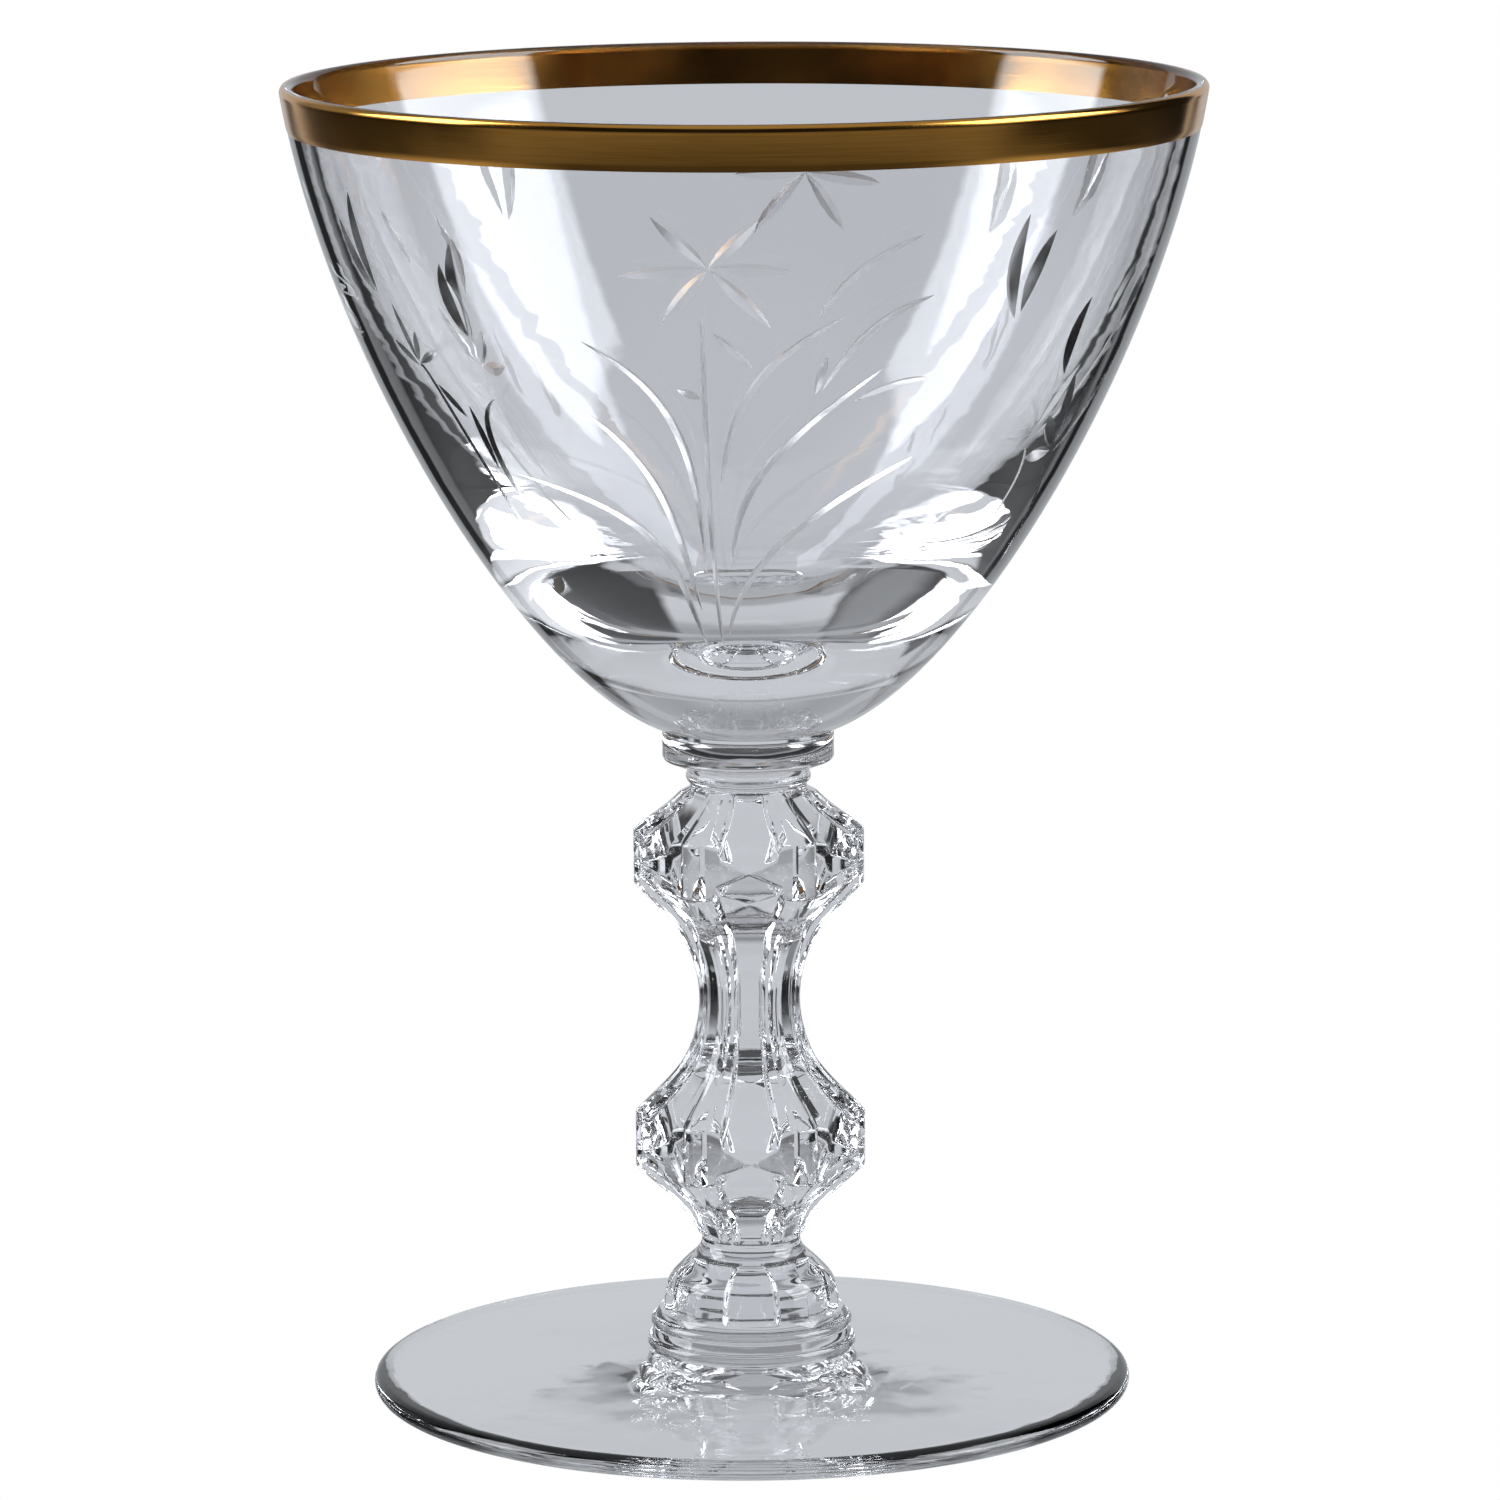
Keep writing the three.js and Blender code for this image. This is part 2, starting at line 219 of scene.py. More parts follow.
def new_material(name, colour):
    """A material without nodes yet, with its colour in plain views, and its node tree."""
    material = bpy.data.materials.new(name)
    material.use_nodes = True
    material.node_tree.nodes.clear()
    material.diffuse_color = paint(colour)
    return material, material.node_tree


# %% [markdown]
# ## Cut crystal
#
# Crystal is clear glass with lead or barium in it, which bends light more than window
# glass does: about 1.54 against 1.5. Its surface is not perfectly true. The blown bowl
# has long shallow waves, drawn out into rings because it turned on the iron. Pressed
# glass keeps finer ripples from its mould. The foot was pressed flat with a wooden tool
# and keeps broad soft waves. A cut left as the stone wheel made it is finely matt, so it
# shows pale. All four are the same shader with waves of a different size and depth.

# %% Crystal finishes
CRYSTAL_IOR = 1.54
GLOSS_PATCH = 9.0
PLAIN_VIEW = "#e8e8f0"


def crystal(name, wave, depth, rough_low, rough_high, flatter=1.0):
    """Clear crystal whose surface has waves of a length and depth in millimetres, and
    whose gloss drifts between two roughnesses. The waves are flatter times shorter up
    the glass than round it."""
    material, tree = new_material(name, PLAIN_VIEW)
    place = add(tree, "ShaderNodeTexCoord").outputs["Object"]
    squeezed = add(tree, "ShaderNodeMapping", {"Vector": place, "Scale": (1, 1, flatter)})
    waves = add(tree, "ShaderNodeTexNoise", {
        "Vector": squeezed.outputs["Vector"], "Scale": 1 / (wave * MM), "Detail": 1.5})
    bump = add(tree, "ShaderNodeBump", {
        "Height": waves.outputs["Fac"], "Distance": depth * MM, "Strength": 1.0})
    patches = add(tree, "ShaderNodeTexNoise", {
        "Vector": place, "Scale": 1 / (GLOSS_PATCH * MM), "Detail": 3.0})
    gloss = add(tree, "ShaderNodeMapRange", {
        "Value": patches.outputs["Fac"], "From Min": 0.35, "From Max": 0.7,
        "To Min": rough_low, "To Max": rough_high})
    shader = add(tree, "ShaderNodeBsdfPrincipled", {
        "Base Color": paint("#fbfbfd"), "Transmission Weight": 1.0, "IOR": CRYSTAL_IOR,
        "Roughness": gloss.outputs["Result"], "Normal": bump.outputs["Normal"]})
    add(tree, "ShaderNodeOutputMaterial", {"Surface": shader.outputs["BSDF"]})
    print(f"{name}: waves of {wave} mm, {depth} mm deep")
    return material


blown_crystal = crystal(
    "crystal_blown_fire_polished", wave=16, depth=0.03, rough_low=0.0, rough_high=0.006, flatter=5.0)
pressed_crystal = crystal(
    "crystal_pressed_fire_polished", wave=3.2, depth=0.03, rough_low=0.0, rough_high=0.01)
turned_crystal = crystal(
    "crystal_turned_foot_fire_polished", wave=8, depth=0.09, rough_low=0.0, rough_high=0.006)
wheel_cut_crystal = crystal(
    "crystal_wheel_cut", wave=0.5, depth=0.0015, rough_low=0.3, rough_high=0.45)

# %% [markdown]
# ## The fused joints
#
# The pieces are joined hot, so there is no gap and no mirror inside the glass where
# they meet. Each piece is still a closed mesh of its own, as it is when it is made, and
# the two faces of a joint let light straight through.

# %% The finish of a fused joint
fused_joint, tree = new_material("crystal_fused_joint", PLAIN_VIEW)
clear = add(tree, "ShaderNodeBsdfTransparent", {"Color": WHITE})
add(tree, "ShaderNodeOutputMaterial", {"Surface": clear.outputs["BSDF"]})
print(fused_joint.name, "lets light straight through")

# %% [markdown]
# ## Burnished gold
#
# Bright gold is a liquid painted on the rim while the glass turns, then fired. The
# brush leaves fine strokes that run round the rim, a little thicker and thinner, and
# later wiping leaves a soft bloom. Real gold is a metal of a deep orange yellow.

# %% The gold of the rim
STROKE_WIDTH, STROKE_STRETCH, STROKE_DEPTH = 0.25, 40, 0.004
BLOOM = 11.0
burnished_gold, tree = new_material("gold_fired_burnished", "#b07a33")
place = add(tree, "ShaderNodeTexCoord").outputs["Object"]
ringwise = add(tree, "ShaderNodeMapping", {"Vector": place, "Scale": (1, 1, STROKE_STRETCH)})
strokes = add(tree, "ShaderNodeTexNoise", {
    "Vector": ringwise.outputs["Vector"], "Scale": 1 / (STROKE_STRETCH * STROKE_WIDTH * MM),
    "Detail": 3.0, "Roughness": 0.6})
bloom = add(tree, "ShaderNodeTexNoise", {"Vector": place, "Scale": 1 / (BLOOM * MM), "Detail": 3.0})
tone = add(tree, "ShaderNodeMix", {
    "Factor": strokes.outputs["Fac"], "A": paint("#c98a3a"), "B": paint("#e2ab57")}, data_type="RGBA")
gloss = add(tree, "ShaderNodeMapRange", {
    "Value": bloom.outputs["Fac"], "From Min": 0.3, "From Max": 0.7, "To Min": 0.1, "To Max": 0.24})
bump = add(tree, "ShaderNodeBump", {
    "Height": strokes.outputs["Fac"], "Distance": STROKE_DEPTH * MM, "Strength": 1.0})
shader = add(tree, "ShaderNodeBsdfPrincipled", {
    "Base Color": tone.outputs["Result"], "Metallic": 1.0,
    "Roughness": gloss.outputs["Result"], "Normal": bump.outputs["Normal"]})
add(tree, "ShaderNodeOutputMaterial", {"Surface": shader.outputs["BSDF"]})
print(f"{burnished_gold.name}: strokes {STROKE_WIDTH} mm wide")

# %% [markdown]
# ## The walls of the bowl
#
# The bowl opens from a narrow base in one long curve, and its inside follows it with a
# thick base and a wall that thins to the lip, as in a heavy cut glass. Each side is one
# cubic curve. The lip is a half circle, because it is melted round in the flame.

# %% The outline of the bowl
BOWL_FLOOR = 74.65
OUTER_START = (8.25, BOWL_BASE + 0.3)
OUTER_PULLS = (21.5, BOWL_BASE + 5), (40, 101.85)
INNER_PULLS = (36.6, 101.15), (20, BOWL_FLOOR)
WALL_POINTS = 1500
lip_height = TOTAL_HEIGHT - LIP_HALF_THICKNESS
lip_radius = RIM_RADIUS - LIP_HALF_THICKNESS
inner_start = (lip_radius - LIP_HALF_THICKNESS, lip_height)
outer_wall = cubic(OUTER_START, *OUTER_PULLS, (RIM_RADIUS, lip_height), WALL_POINTS)
inner_wall = cubic(inner_start, *INNER_PULLS, (0, BOWL_FLOOR), WALL_POINTS)
lip = arc(lip_radius, lip_height, LIP_HALF_THICKNESS, 0, 180, 13)
wall_run = along(outer_wall)
print(f"outer wall {wall_run[-1]:.1f} mm long, base {BOWL_FLOOR - BOWL_BASE:.1f} mm thick")


# %% Reading the outer wall
def on_wall(run):
    """Radius, height and outward normal of the outer wall, at a distance run up it. The
    normal is the slope of the wall turned by a right angle."""
    slope = np.gradient(outer_wall, wall_run, axis=0)
    slope /= np.linalg.norm(slope, axis=1, keepdims=True)
    read = outer_wall[:, 0], outer_wall[:, 1], slope[:, 1], -slope[:, 0]
    return [np.interp(run, wall_run, values) for values in read]


def run_at(height):
    """The distance up the outer wall at which it reaches a height."""
    return np.interp(height, outer_wall[:, 1], wall_run)


# %% [markdown]
# ## The cut decoration
#
# The cutter holds the bowl against a turning stone wheel with a V-shaped edge. A short
# touch leaves a pointed leaf, a long sweep leaves a blade, and six leaves round a point
# make a flower. Each cut is written as the points that it passes through, as azimuth in
# degrees and height in millimetres, with its width and how strongly it tapers. On the
# far side there is a second flower, of which the photograph shows two leaves through the
# glass, with the same buds beside it.

# %% The flower, its stem and the other stems
FLOWER = (-4.7, 113.8)
FLOWER_TIPS = [(-11.7, 118.6), (-16.4, 113.0), (-11.2, 108.6), (3.4, 108.2), (6.1, 113.5), (1.7, 118.3)]
PETAL_WIDTH, LEAF_WIDTH, BUD_WIDTH, BLADE_WIDTH, STALK_WIDTH = 1.25, 0.85, 1.6, 0.8, 0.5
POINTED, SWEPT, EVEN = 0.8, 0.55, 0.3

petals = [([FLOWER, tip], PETAL_WIDTH, POINTED) for tip in FLOWER_TIPS]
stalks = [(line, STALK_WIDTH, EVEN) for line in [
    [(-6.0, 109.0), (-5.9, 102.5), (-6.2, 88.5), (-5.9, 76.5)],
    [(-54.7, 102.7), (-51.5, 99.4), (-46.5, 90.5), (-42.0, 84.0)],
    [(60.5, 92.2), (64.5, 88.6), (66.5, 82.6)],
]]
print(f"{len(petals)} petals and {len(stalks)} stalks")

# %% The long blades
blades = [(line, BLADE_WIDTH, SWEPT) for line in [
    [(-23.0, 106.7), (-13.8, 102.0), (-9.0, 95.1), (-7.8, 84.0)],
    [(-25.1, 100.1), (-16.6, 94.6), (-12.5, 88.4), (-9.8, 80.0)],
    [(-40.6, 93.0), (-20.9, 89.0), (-13.3, 83.2), (-9.6, 76.0)],
    [(13.7, 109.3), (4.8, 105.3), (-0.9, 100.2), (-4.2, 92.5)],
    [(23.1, 116.6), (14.8, 113.4), (9.7, 108.9)],
    [(25.6, 110.8), (17.0, 107.7), (10.9, 102.0)],
    [(19.5, 104.0), (9.5, 98.9), (1.2, 92.8), (-2.6, 85.0)],
    [(26.9, 102.8), (21.7, 102.4), (15.5, 100.9)],
    [(27.1, 95.1), (17.0, 91.8), (4.2, 85.8), (-4.4, 77.2)],
    [(-39.8, 100.5), (-43.5, 97.7), (-43.6, 93.8), (-41.5, 89.5)],
    [(72.0, 104.0), (68.0, 98.0), (61.5, 93.6)],
]]
print(f"{len(blades)} blades")

# %% The leaves and the buds
leaves = [(line, LEAF_WIDTH, POINTED) for line in [
    [(-4.6, 107.8), (0.9, 104.4)],
    [(-9.8, 102.3), (-6.4, 101.4)],
    [(11.3, 105.4), (9.9, 101.7)],
    [(-52.0, 101.2), (-47.6, 98.2)],
    [(-54.4, 103.0), (-49.0, 104.6)],
    [(-54.6, 103.2), (-53.0, 106.2)],
    [(-54.8, 103.2), (-56.6, 108.6)],
    [(-54.9, 102.8), (-59.6, 105.0)],
    [(-46.2, 99.5), (-44.8, 93.2)],
]]
buds = [(line, BUD_WIDTH, POINTED) for line in [
    [(39.2, 107.8), (37.2, 112.6), (38.1, 117.8)],
    [(40.0, 108.4), (41.0, 112.4), (43.2, 116.0)],
    [(-41.3, 106.4), (-41.8, 110.8), (-40.6, 115.4)],
    [(-41.5, 106.3), (-43.3, 109.6), (-43.4, 113.2)],
    [(-59.4, 109.4), (-60.6, 114.2), (-59.7, 119.0)],
    [(-59.7, 109.3), (-63.0, 112.4), (-64.6, 116.2)],
    [(60.0, 93.8), (52.6, 93.6)],
    [(59.6, 94.2), (54.4, 97.6)],
    [(60.2, 94.6), (57.4, 101.6)],
    [(60.6, 94.4), (64.6, 100.8)],
    [(54.2, 101.5), (53.0, 105.2), (54.6, 109.0)],
    [(66.6, 105.6), (70.0, 111.0)],
]]
print(f"{len(leaves)} leaves and {len(buds)} buds")

# %% All cuts, with the flower and the buds of the far side
FAR_FLOWER_TURN, FAR_FLOWER_DROP = 175.6, 2.6
cuts = petals + stalks + blades + leaves + buds
for group, turn, drop in [(petals, FAR_FLOWER_TURN, FAR_FLOWER_DROP), (buds, 180, 0)]:
    cuts += [([(a + turn, h - drop) for a, h in line], width, taper) for line, width, taper in group]
print(f"{len(cuts)} cuts")

# %% [markdown]
# ## Where each cut lies, and how deep it is
#
# The wall is unrolled flat, so a cut becomes a narrow lens in a plane. Across it the
# depth falls from the middle line to both edges in straight lines, which is the V of
# the wheel. Where two cuts cross, the deeper one counts, as it does on the real glass.

# %% Each cut as a middle line and two edges
UNROLL_RADIUS = 40.0
PER_DEGREE = math.radians(1) * UNROLL_RADIUS
ABOUT_PER_DEGREE = 0.7
POINT_STEP, FEWEST_POINTS = 0.9, 9


def squeeze(run):
    """How much narrower the true wall is than its unrolled sheet, at a distance up."""
    return on_wall(run)[0] / UNROLL_RADIUS


def cut_shape(line, width, taper):
    """Middle line, sideways steps and half widths of a cut. The middle line is the
    polynomial through its points; the half width swells as a power of a sine."""
    line = np.array(line, float)
    knots = np.linspace(0, 1, len(line))
    rough_length = np.linalg.norm((line[-1] - line[0]) * [ABOUT_PER_DEGREE, 1])
    t = np.linspace(0, 1, max(FEWEST_POINTS, int(rough_length / POINT_STEP)))
    azimuth, height = (np.polyval(np.polyfit(knots, line[:, k], len(line) - 1), t) for k in range(2))
    middle = np.stack([azimuth * PER_DEGREE, run_at(height)], -1)
    narrow = squeeze(middle[:, 1])
    step = np.gradient(middle, axis=0) * np.stack([narrow, np.ones_like(narrow)], -1)
    step /= np.linalg.norm(step, axis=1, keepdims=True)
    sideways = np.stack([-step[:, 1] / narrow, step[:, 0]], -1)
    half = width / 2 * np.sin(np.pi * t) ** taper
    half[[0, -1]] = 0
    return middle, sideways, half


shapes = [cut_shape(*cut) for cut in cuts]
print(f"{sum(len(middle) for middle, _, _ in shapes)} points on the middle lines")

# %% The depth of the cuts
CUT_SLOPE = 0.75
SEARCHED = np.array([5.0, 3.0])


def cut_depth(places):
    """Depth of the cuts under places on the unrolled wall: for each cut, its half
    width at the nearest point of its middle line less the distance to it, times the
    slope of the V; the deepest cut wins. Also how far inside the nearest edge each place
    lies, negative where it lies outside, for the places near a cut."""
    narrow = squeeze(places[:, 1])
    scale = np.stack([narrow, np.ones_like(narrow)], -1)
    inside = np.full(len(places), -np.inf)
    for middle, _, half in shapes:
        low, high = middle.min(0) - SEARCHED, middle.max(0) + SEARCHED
        near = np.all((places > low) & (places < high), axis=1)
        if not near.any():
            continue
        p, s = places[near, None], scale[near, None]
        a, b = middle[None, :-1] * s, middle[None, 1:] * s
        t = np.clip(((p * s - a) * (b - a)).sum(-1) / ((b - a) ** 2).sum(-1), 0, 1)
        distance = np.linalg.norm(p * s - a - t[..., None] * (b - a), axis=-1)
        widest = (half[:-1] * (1 - t) + half[1:] * t - distance).max(axis=1)
        inside[near] = np.maximum(inside[near], widest)
    return np.maximum(inside, 0) * CUT_SLOPE, inside


# %% [markdown]
# ## Meshing the cut part of the wall
#
# A plain grid would have to be very fine to keep a V of half a millimetre crisp. Here
# the middle lines and edges of the cuts are drawn on the unrolled wall, a loose grid of
# points fills the rest, and a Delaunay triangulation that must keep those lines joins
# them. Every point then goes to its place on the wall, less the depth of the cut.

# %% The loose grid and the border of the unrolled wall
CUT_FROM, CUT_TO = run_at(72.0), run_at(121.2)
SEAM = -87.0 * PER_DEGREE
SHEET = 360 * PER_DEGREE
LOOSE_ROWS, CLEAR_OF_CUTS = 40, 0.22
ring_x = SEAM + SHEET * np.arange(COLUMNS + 1) / COLUMNS
rows_y = np.linspace(CUT_FROM, CUT_TO, LOOSE_ROWS)

grid_x, grid_y = np.meshgrid(ring_x[1:-1], rows_y[1:-1])
loose = np.stack([grid_x.ravel(), grid_y.ravel()], -1)
loose = loose[cut_depth(loose)[1] < -CLEAR_OF_CUTS]
side = np.stack([np.full(LOOSE_ROWS - 2, SEAM), rows_y[1:-1]], -1)
low_row = np.stack([ring_x, np.full(COLUMNS + 1, CUT_FROM)], -1)
high_row = np.stack([ring_x, np.full(COLUMNS + 1, CUT_TO)], -1)
print(f"{len(loose)} loose points")

# %% The triangles of the unrolled wall
KEPT_APART = 1e-4
places = [low_row, high_row, side, side + [SHEET, 0], loose]
drawn = []
count = sum(len(p) for p in places)
for middle, sideways, half in shapes:
    for share in (-1, 0, 1):
        line = middle + share * sideways * half[:, None]
        numbers = count + np.arange(len(line))
        places.append(line)
        drawn.append(np.stack([numbers[:-1], numbers[1:]], -1))
        count += len(line)
found = delaunay_2d_cdt(np.vstack(places).tolist(), np.vstack(drawn).tolist(), [], 0, KEPT_APART)
sheet = np.array(found[0], float)
sheet_triangles = np.array(found[2])
print(f"{count} points became {len(sheet)} points and {len(sheet_triangles)} triangles")

# %% [markdown]
# ## The bowl
#
# The rings below and above the cut part, the lip, the inside and the base share their
# points with it, so the bowl is one closed surface. The plain wall gets the exact
# normals of its curve, because polished glass shows the slightest facet.

# %% The rings of the bowl, without the band that the cut part fills
OUTER_STEP, INNER_STEP = 0.7, 0.8
azimuths = ring_x[:-1] / UNROLL_RADIUS
below = evenly(outer_wall[:int(np.searchsorted(wall_run, CUT_FROM))], OUTER_STEP)
below[-1] = on_wall(CUT_FROM)[:2]
above = evenly(outer_wall[int(np.searchsorted(wall_run, CUT_TO)):], OUTER_STEP)
above[0] = on_wall(CUT_TO)[:2]
inner = evenly(inner_wall, INNER_STEP)[1:-1]
profile = np.vstack([[[BOWL_SEAT, BOWL_BASE]], below, above, lip[1:], inner])
points, low_fan, bands, high_fan = poled_grid(turned(profile, azimuths), BOWL_BASE, BOWL_FLOOR)

low_ring, high_ring = len(below), len(below) + 1
band_of_cuts = np.arange(COLUMNS) + low_ring * COLUMNS
bands = np.delete(bands, band_of_cuts, axis=0)
print(f"{len(profile)} rings of {COLUMNS} points")

# %% The number that each point of the sheet has in the bowl
TOUCH = 1e-3
column = np.round((sheet[:, 0] - SEAM) / SHEET * COLUMNS).astype(int) % COLUMNS
number = np.where(abs(sheet[:, 1] - CUT_FROM) < TOUCH, 1 + low_ring * COLUMNS + column, -1)
number = np.where(abs(sheet[:, 1] - CUT_TO) < TOUCH, 1 + high_ring * COLUMNS + column, number)
left_side = np.flatnonzero((abs(sheet[:, 0] - SEAM) < TOUCH) & (number < 0))
right_side = np.flatnonzero((abs(sheet[:, 0] - SEAM - SHEET) < TOUCH) & (number < 0))
left_side = left_side[np.argsort(sheet[left_side, 1])]
right_side = right_side[np.argsort(sheet[right_side, 1])]
fresh = np.setdiff1d(np.flatnonzero(number < 0), right_side)
number[fresh] = len(points) + np.arange(len(fresh))
number[right_side] = number[left_side]
print(f"{len(fresh)} points are new, {len(right_side)} meet again at the seam")

# %% The sheet rolled up, with the cuts sunk into it
depth = cut_depth(sheet)[0]
radius, height, out, up = on_wall(sheet[:, 1])
azimuth = sheet[:, 0] / UNROLL_RADIUS
placed = around(radius - depth * out, azimuth, height - depth * up)
points = np.vstack([points, placed[fresh]])

corner = placed[sheet_triangles]
facing = np.cross(corner[:, 1] - corner[:, 0], corner[:, 2] - corner[:, 0])
outward = (facing * corner.mean(axis=1) * [1, 1, 0]).sum(-1) > 0
triangles = number[sheet_triangles]
triangles = np.where(outward[:, None], triangles, triangles[:, ::-1])
print(f"deepest cut {depth.max():.2f} mm")

# %% The bowl as one closed piece
SMOOTH, CUT, JOINT = 0, 1, 2
LEAST_CUT = 2e-3
is_cut = cut_depth(sheet[sheet_triangles].mean(axis=1))[0] > LEAST_CUT
bowl = make_piece("bowl_crystal", points, [
    (low_fan, JOINT), (bands, SMOOTH), (high_fan, SMOOTH), (triangles, is_cut * CUT)],
    [blown_crystal, wheel_cut_crystal, fused_joint], sharp=16)

# %% What the normal is at each point of the plain wall
# A direction is carried round the axis just as a place is.
UNCUT = 1e-6
known = np.zeros((len(points), 3))
known[number] = around(out, azimuth, up)
known[number[depth > UNCUT]] = 0
rows = np.r_[1:low_ring + 1, high_ring:high_ring + len(above)]
row_out, row_up = on_wall(run_at(profile[rows, 1]))[2:]
in_rows = 1 + rows[:, None] * COLUMNS + np.arange(COLUMNS)
known[in_rows] = around(row_out[:, None], azimuths, row_up[:, None])
print(f"{np.any(known, axis=1).sum()} of {len(known)} points lie on the plain wall")

# %% The exact normals of the plain wall
mesh = bowl.data
corner_points = np.empty(len(mesh.loops), np.int32)
mesh.loops.foreach_get("vertex_index", corner_points)
face_corners = np.empty(len(mesh.polygons), np.int32)
mesh.polygons.foreach_get("loop_total", face_corners)
face_slots = np.empty(len(mesh.polygons), np.int32)
mesh.polygons.foreach_get("material_index", face_slots)
corner_faces = np.repeat(np.arange(len(mesh.polygons)), face_corners)
in_seat = corner_faces < len(low_fan) + COLUMNS
corner_normals = known[corner_points]
corner_normals[in_seat | (face_slots[corner_faces] != SMOOTH)] = 0
mesh.normals_split_custom_set(corner_normals.tolist())
print(f"{np.any(corner_normals, axis=1).sum()} corners have the normal of the curve")

# %% [markdown]
# ## The gold film
#
# The film starts a few millimetres under the lip and laps over its outer side. It is
# far thinner than paper on the real glass; here it is six hundredths of a millimetre
# proud, and its back lies just inside the glass, so that from inside the bowl the gold
# is seen through the wall.

# %% The gold band
BAND_HEIGHT, FILM, BEDDED = 4.3, 0.06, 0.02
BAND_STEP, THIN_EDGE, LAPPED_TO = 0.35, 0.12, 65
band_start = TOTAL_HEIGHT - BAND_HEIGHT
band_wall = evenly(outer_wall[outer_wall[:, 1] > band_start], BAND_STEP)
band_wall = np.vstack([[on_wall(run_at(band_start))[:2]], band_wall[1:]])
lapped = arc(lip_radius, lip_height, LIP_HALF_THICKNESS, 0, LAPPED_TO, 9)
middle = np.vstack([band_wall, lapped[1:]])
slope = np.gradient(middle, axis=0)
slope /= np.linalg.norm(slope, axis=1, keepdims=True)
normal = np.stack([slope[:, 1], -slope[:, 0]], -1)
from_edge = np.minimum(along(middle), along(middle)[-1] - along(middle))
taper = np.clip(from_edge / THIN_EDGE, 0, 1)[:, None]
band_profile = np.vstack([middle + normal * FILM * np.sqrt(taper), (middle - normal * BEDDED)[::-1]])
rings = turned(band_profile, azimuths)
gold_band = make_piece("gold_band", rings.reshape(-1, 3),
                       [(grid_quads(len(rings), COLUMNS, loop=True), 0)], [burnished_gold])

# %% [markdown]
# ## The disc under the bowl
#
# A gather of hot glass pressed flat joins the bowl to the stem. Its edge is upright
# above, rounded below, and runs down to the collar of the stem in a flat chamfer. This
# disc and the pieces under it are each a stack of rings, closed at the bottom and at the
# top by a fan of faces round the axis.


# %% A piece from its rings
def closed_piece(name, rings, bottom, top, slots, materials, **shading):
    """A piece from rings between two poles. The two slots are those of the bottom and
    of the top face; everything between them has the first material."""
    points, low_fan, bands, high_fan = poled_grid(rings, bottom, top)
    faces = [(low_fan, slots[0]), (bands, 0), (high_fan, slots[1])]
    return make_piece(name, points, faces, materials, **shading)


# %% The disc under the bowl
DISC_RADIUS, DISC_ROUND, ROUND_RISE = 8.25, 0.5, 1.3
DISC_ARRIS, ARRIS_DROP = 0.05, 0.2
disc_profile = np.vstack([
    [[COLLAR_SEAT, STEM_TOP]],
    arc(DISC_RADIUS - DISC_ROUND, STEM_TOP + ROUND_RISE, DISC_ROUND, -65, 0, 9),
    arc(DISC_RADIUS - DISC_ARRIS, BOWL_BASE - ARRIS_DROP, DISC_ARRIS, 0, 50, 3),
    [[BOWL_SEAT, BOWL_BASE]]])
bowl_disc = closed_piece("bowl_merese_crystal", turned(disc_profile, azimuths), STEM_TOP, BOWL_BASE,
                         (1, 1), [pressed_crystal, fused_joint])

# %% [markdown]
# ## The stem
#
# The stem is pressed in a mould. Six sunk flutes run down it, each with a flat floor
# and short steep walls, and between each two stands a rib with a bead on its crest. At
# both knops an upright hexagon stands out, which cuts the flutes off in points and
# leaves six diamond lands. Below it swells into a bell with six sunk panels. Everything
# is one grid: the columns follow the flutes and ribs, and the rows are moved so that one
# of them lies on every crease.
#
# The outline is given at stations, from the top down. Each has its height, the radius of
# the rib's crest, the radius of the flute's floor and of the rib's edge as shares of it,
# and the angle in degrees at which the floor ends. At the waist the height is first a
# share of the way from one knop to the other. A knop has three radii: that of its lands
# at a rib, that of their tips over a flute, and that of the sharp cusp which the ribs
# would come to without the hexagon.

# %% The outline of the ribs
UPPER_GIRDLE, LOWER_GIRDLE = STEM_TOP - 8.2, FOOT_MERESE_TOP + 16.7
BELL_TOP = FOOT_MERESE_TOP + 7
LAND, TIP, CUSP = 11.1, 11.93, 13.85
TIP_SHARE = TIP / CUSP
CREST, FLOOR, RIM, EDGE = 1, 2, 3, 4
SHOULDER = np.array([
    (STEM_TOP - 1.5, 5.7, 0.84, 0.955, 13),
    (STEM_TOP - 2.9, 7.1, 0.80, 0.955, 13),
    (STEM_TOP - 5.9, 10.95, 0.825, 0.965, 14),
    (UPPER_GIRDLE, CUSP, TIP_SHARE, 0.965, 14)])
WAIST = np.array([(UPPER_GIRDLE - drop * (UPPER_GIRDLE - LOWER_GIRDLE), *rest) for drop, *rest in [
    (0, CUSP, TIP_SHARE, 0.965, 17), (0.13, 10.35, 0.825, 0.965, 16.5), (0.255, 7.05, 0.80, 0.96, 15),
    (0.38, 5.3, 0.83, 0.955, 13.5), (0.49, 4.75, 0.86, 0.955, 13), (0.61, 5.1, 0.84, 0.955, 13),
    (0.73, 6.5, 0.80, 0.95, 13), (0.87, 10.1, 0.82, 0.96, 13.5), (1, CUSP, TIP_SHARE, 0.965, 14)]])
UNDER_KNOP = np.array([
    (LOWER_GIRDLE, CUSP, TIP_SHARE, 0.965, 17),
    (FOOT_MERESE_TOP + 13.3, 10.1, 0.825, 0.965, 16.5),
    (FOOT_MERESE_TOP + 10.3, 6.95, 0.80, 0.96, 15.5),
    (FOOT_MERESE_TOP + 8.3, 5.35, 0.84, 0.96, 14.5),
    (BELL_TOP, 4.75, 0.86, 0.965, 13)])
FLUTED_PARTS = [
    (UPPER_GIRDLE, np.inf, SHOULDER), (LOWER_GIRDLE, UPPER_GIRDLE, WAIST),
    (-np.inf, LOWER_GIRDLE, UNDER_KNOP)]
print(f"knops at {UPPER_GIRDLE:.2f} and {LOWER_GIRDLE:.2f} mm, {2 * TIP:.1f} mm across")


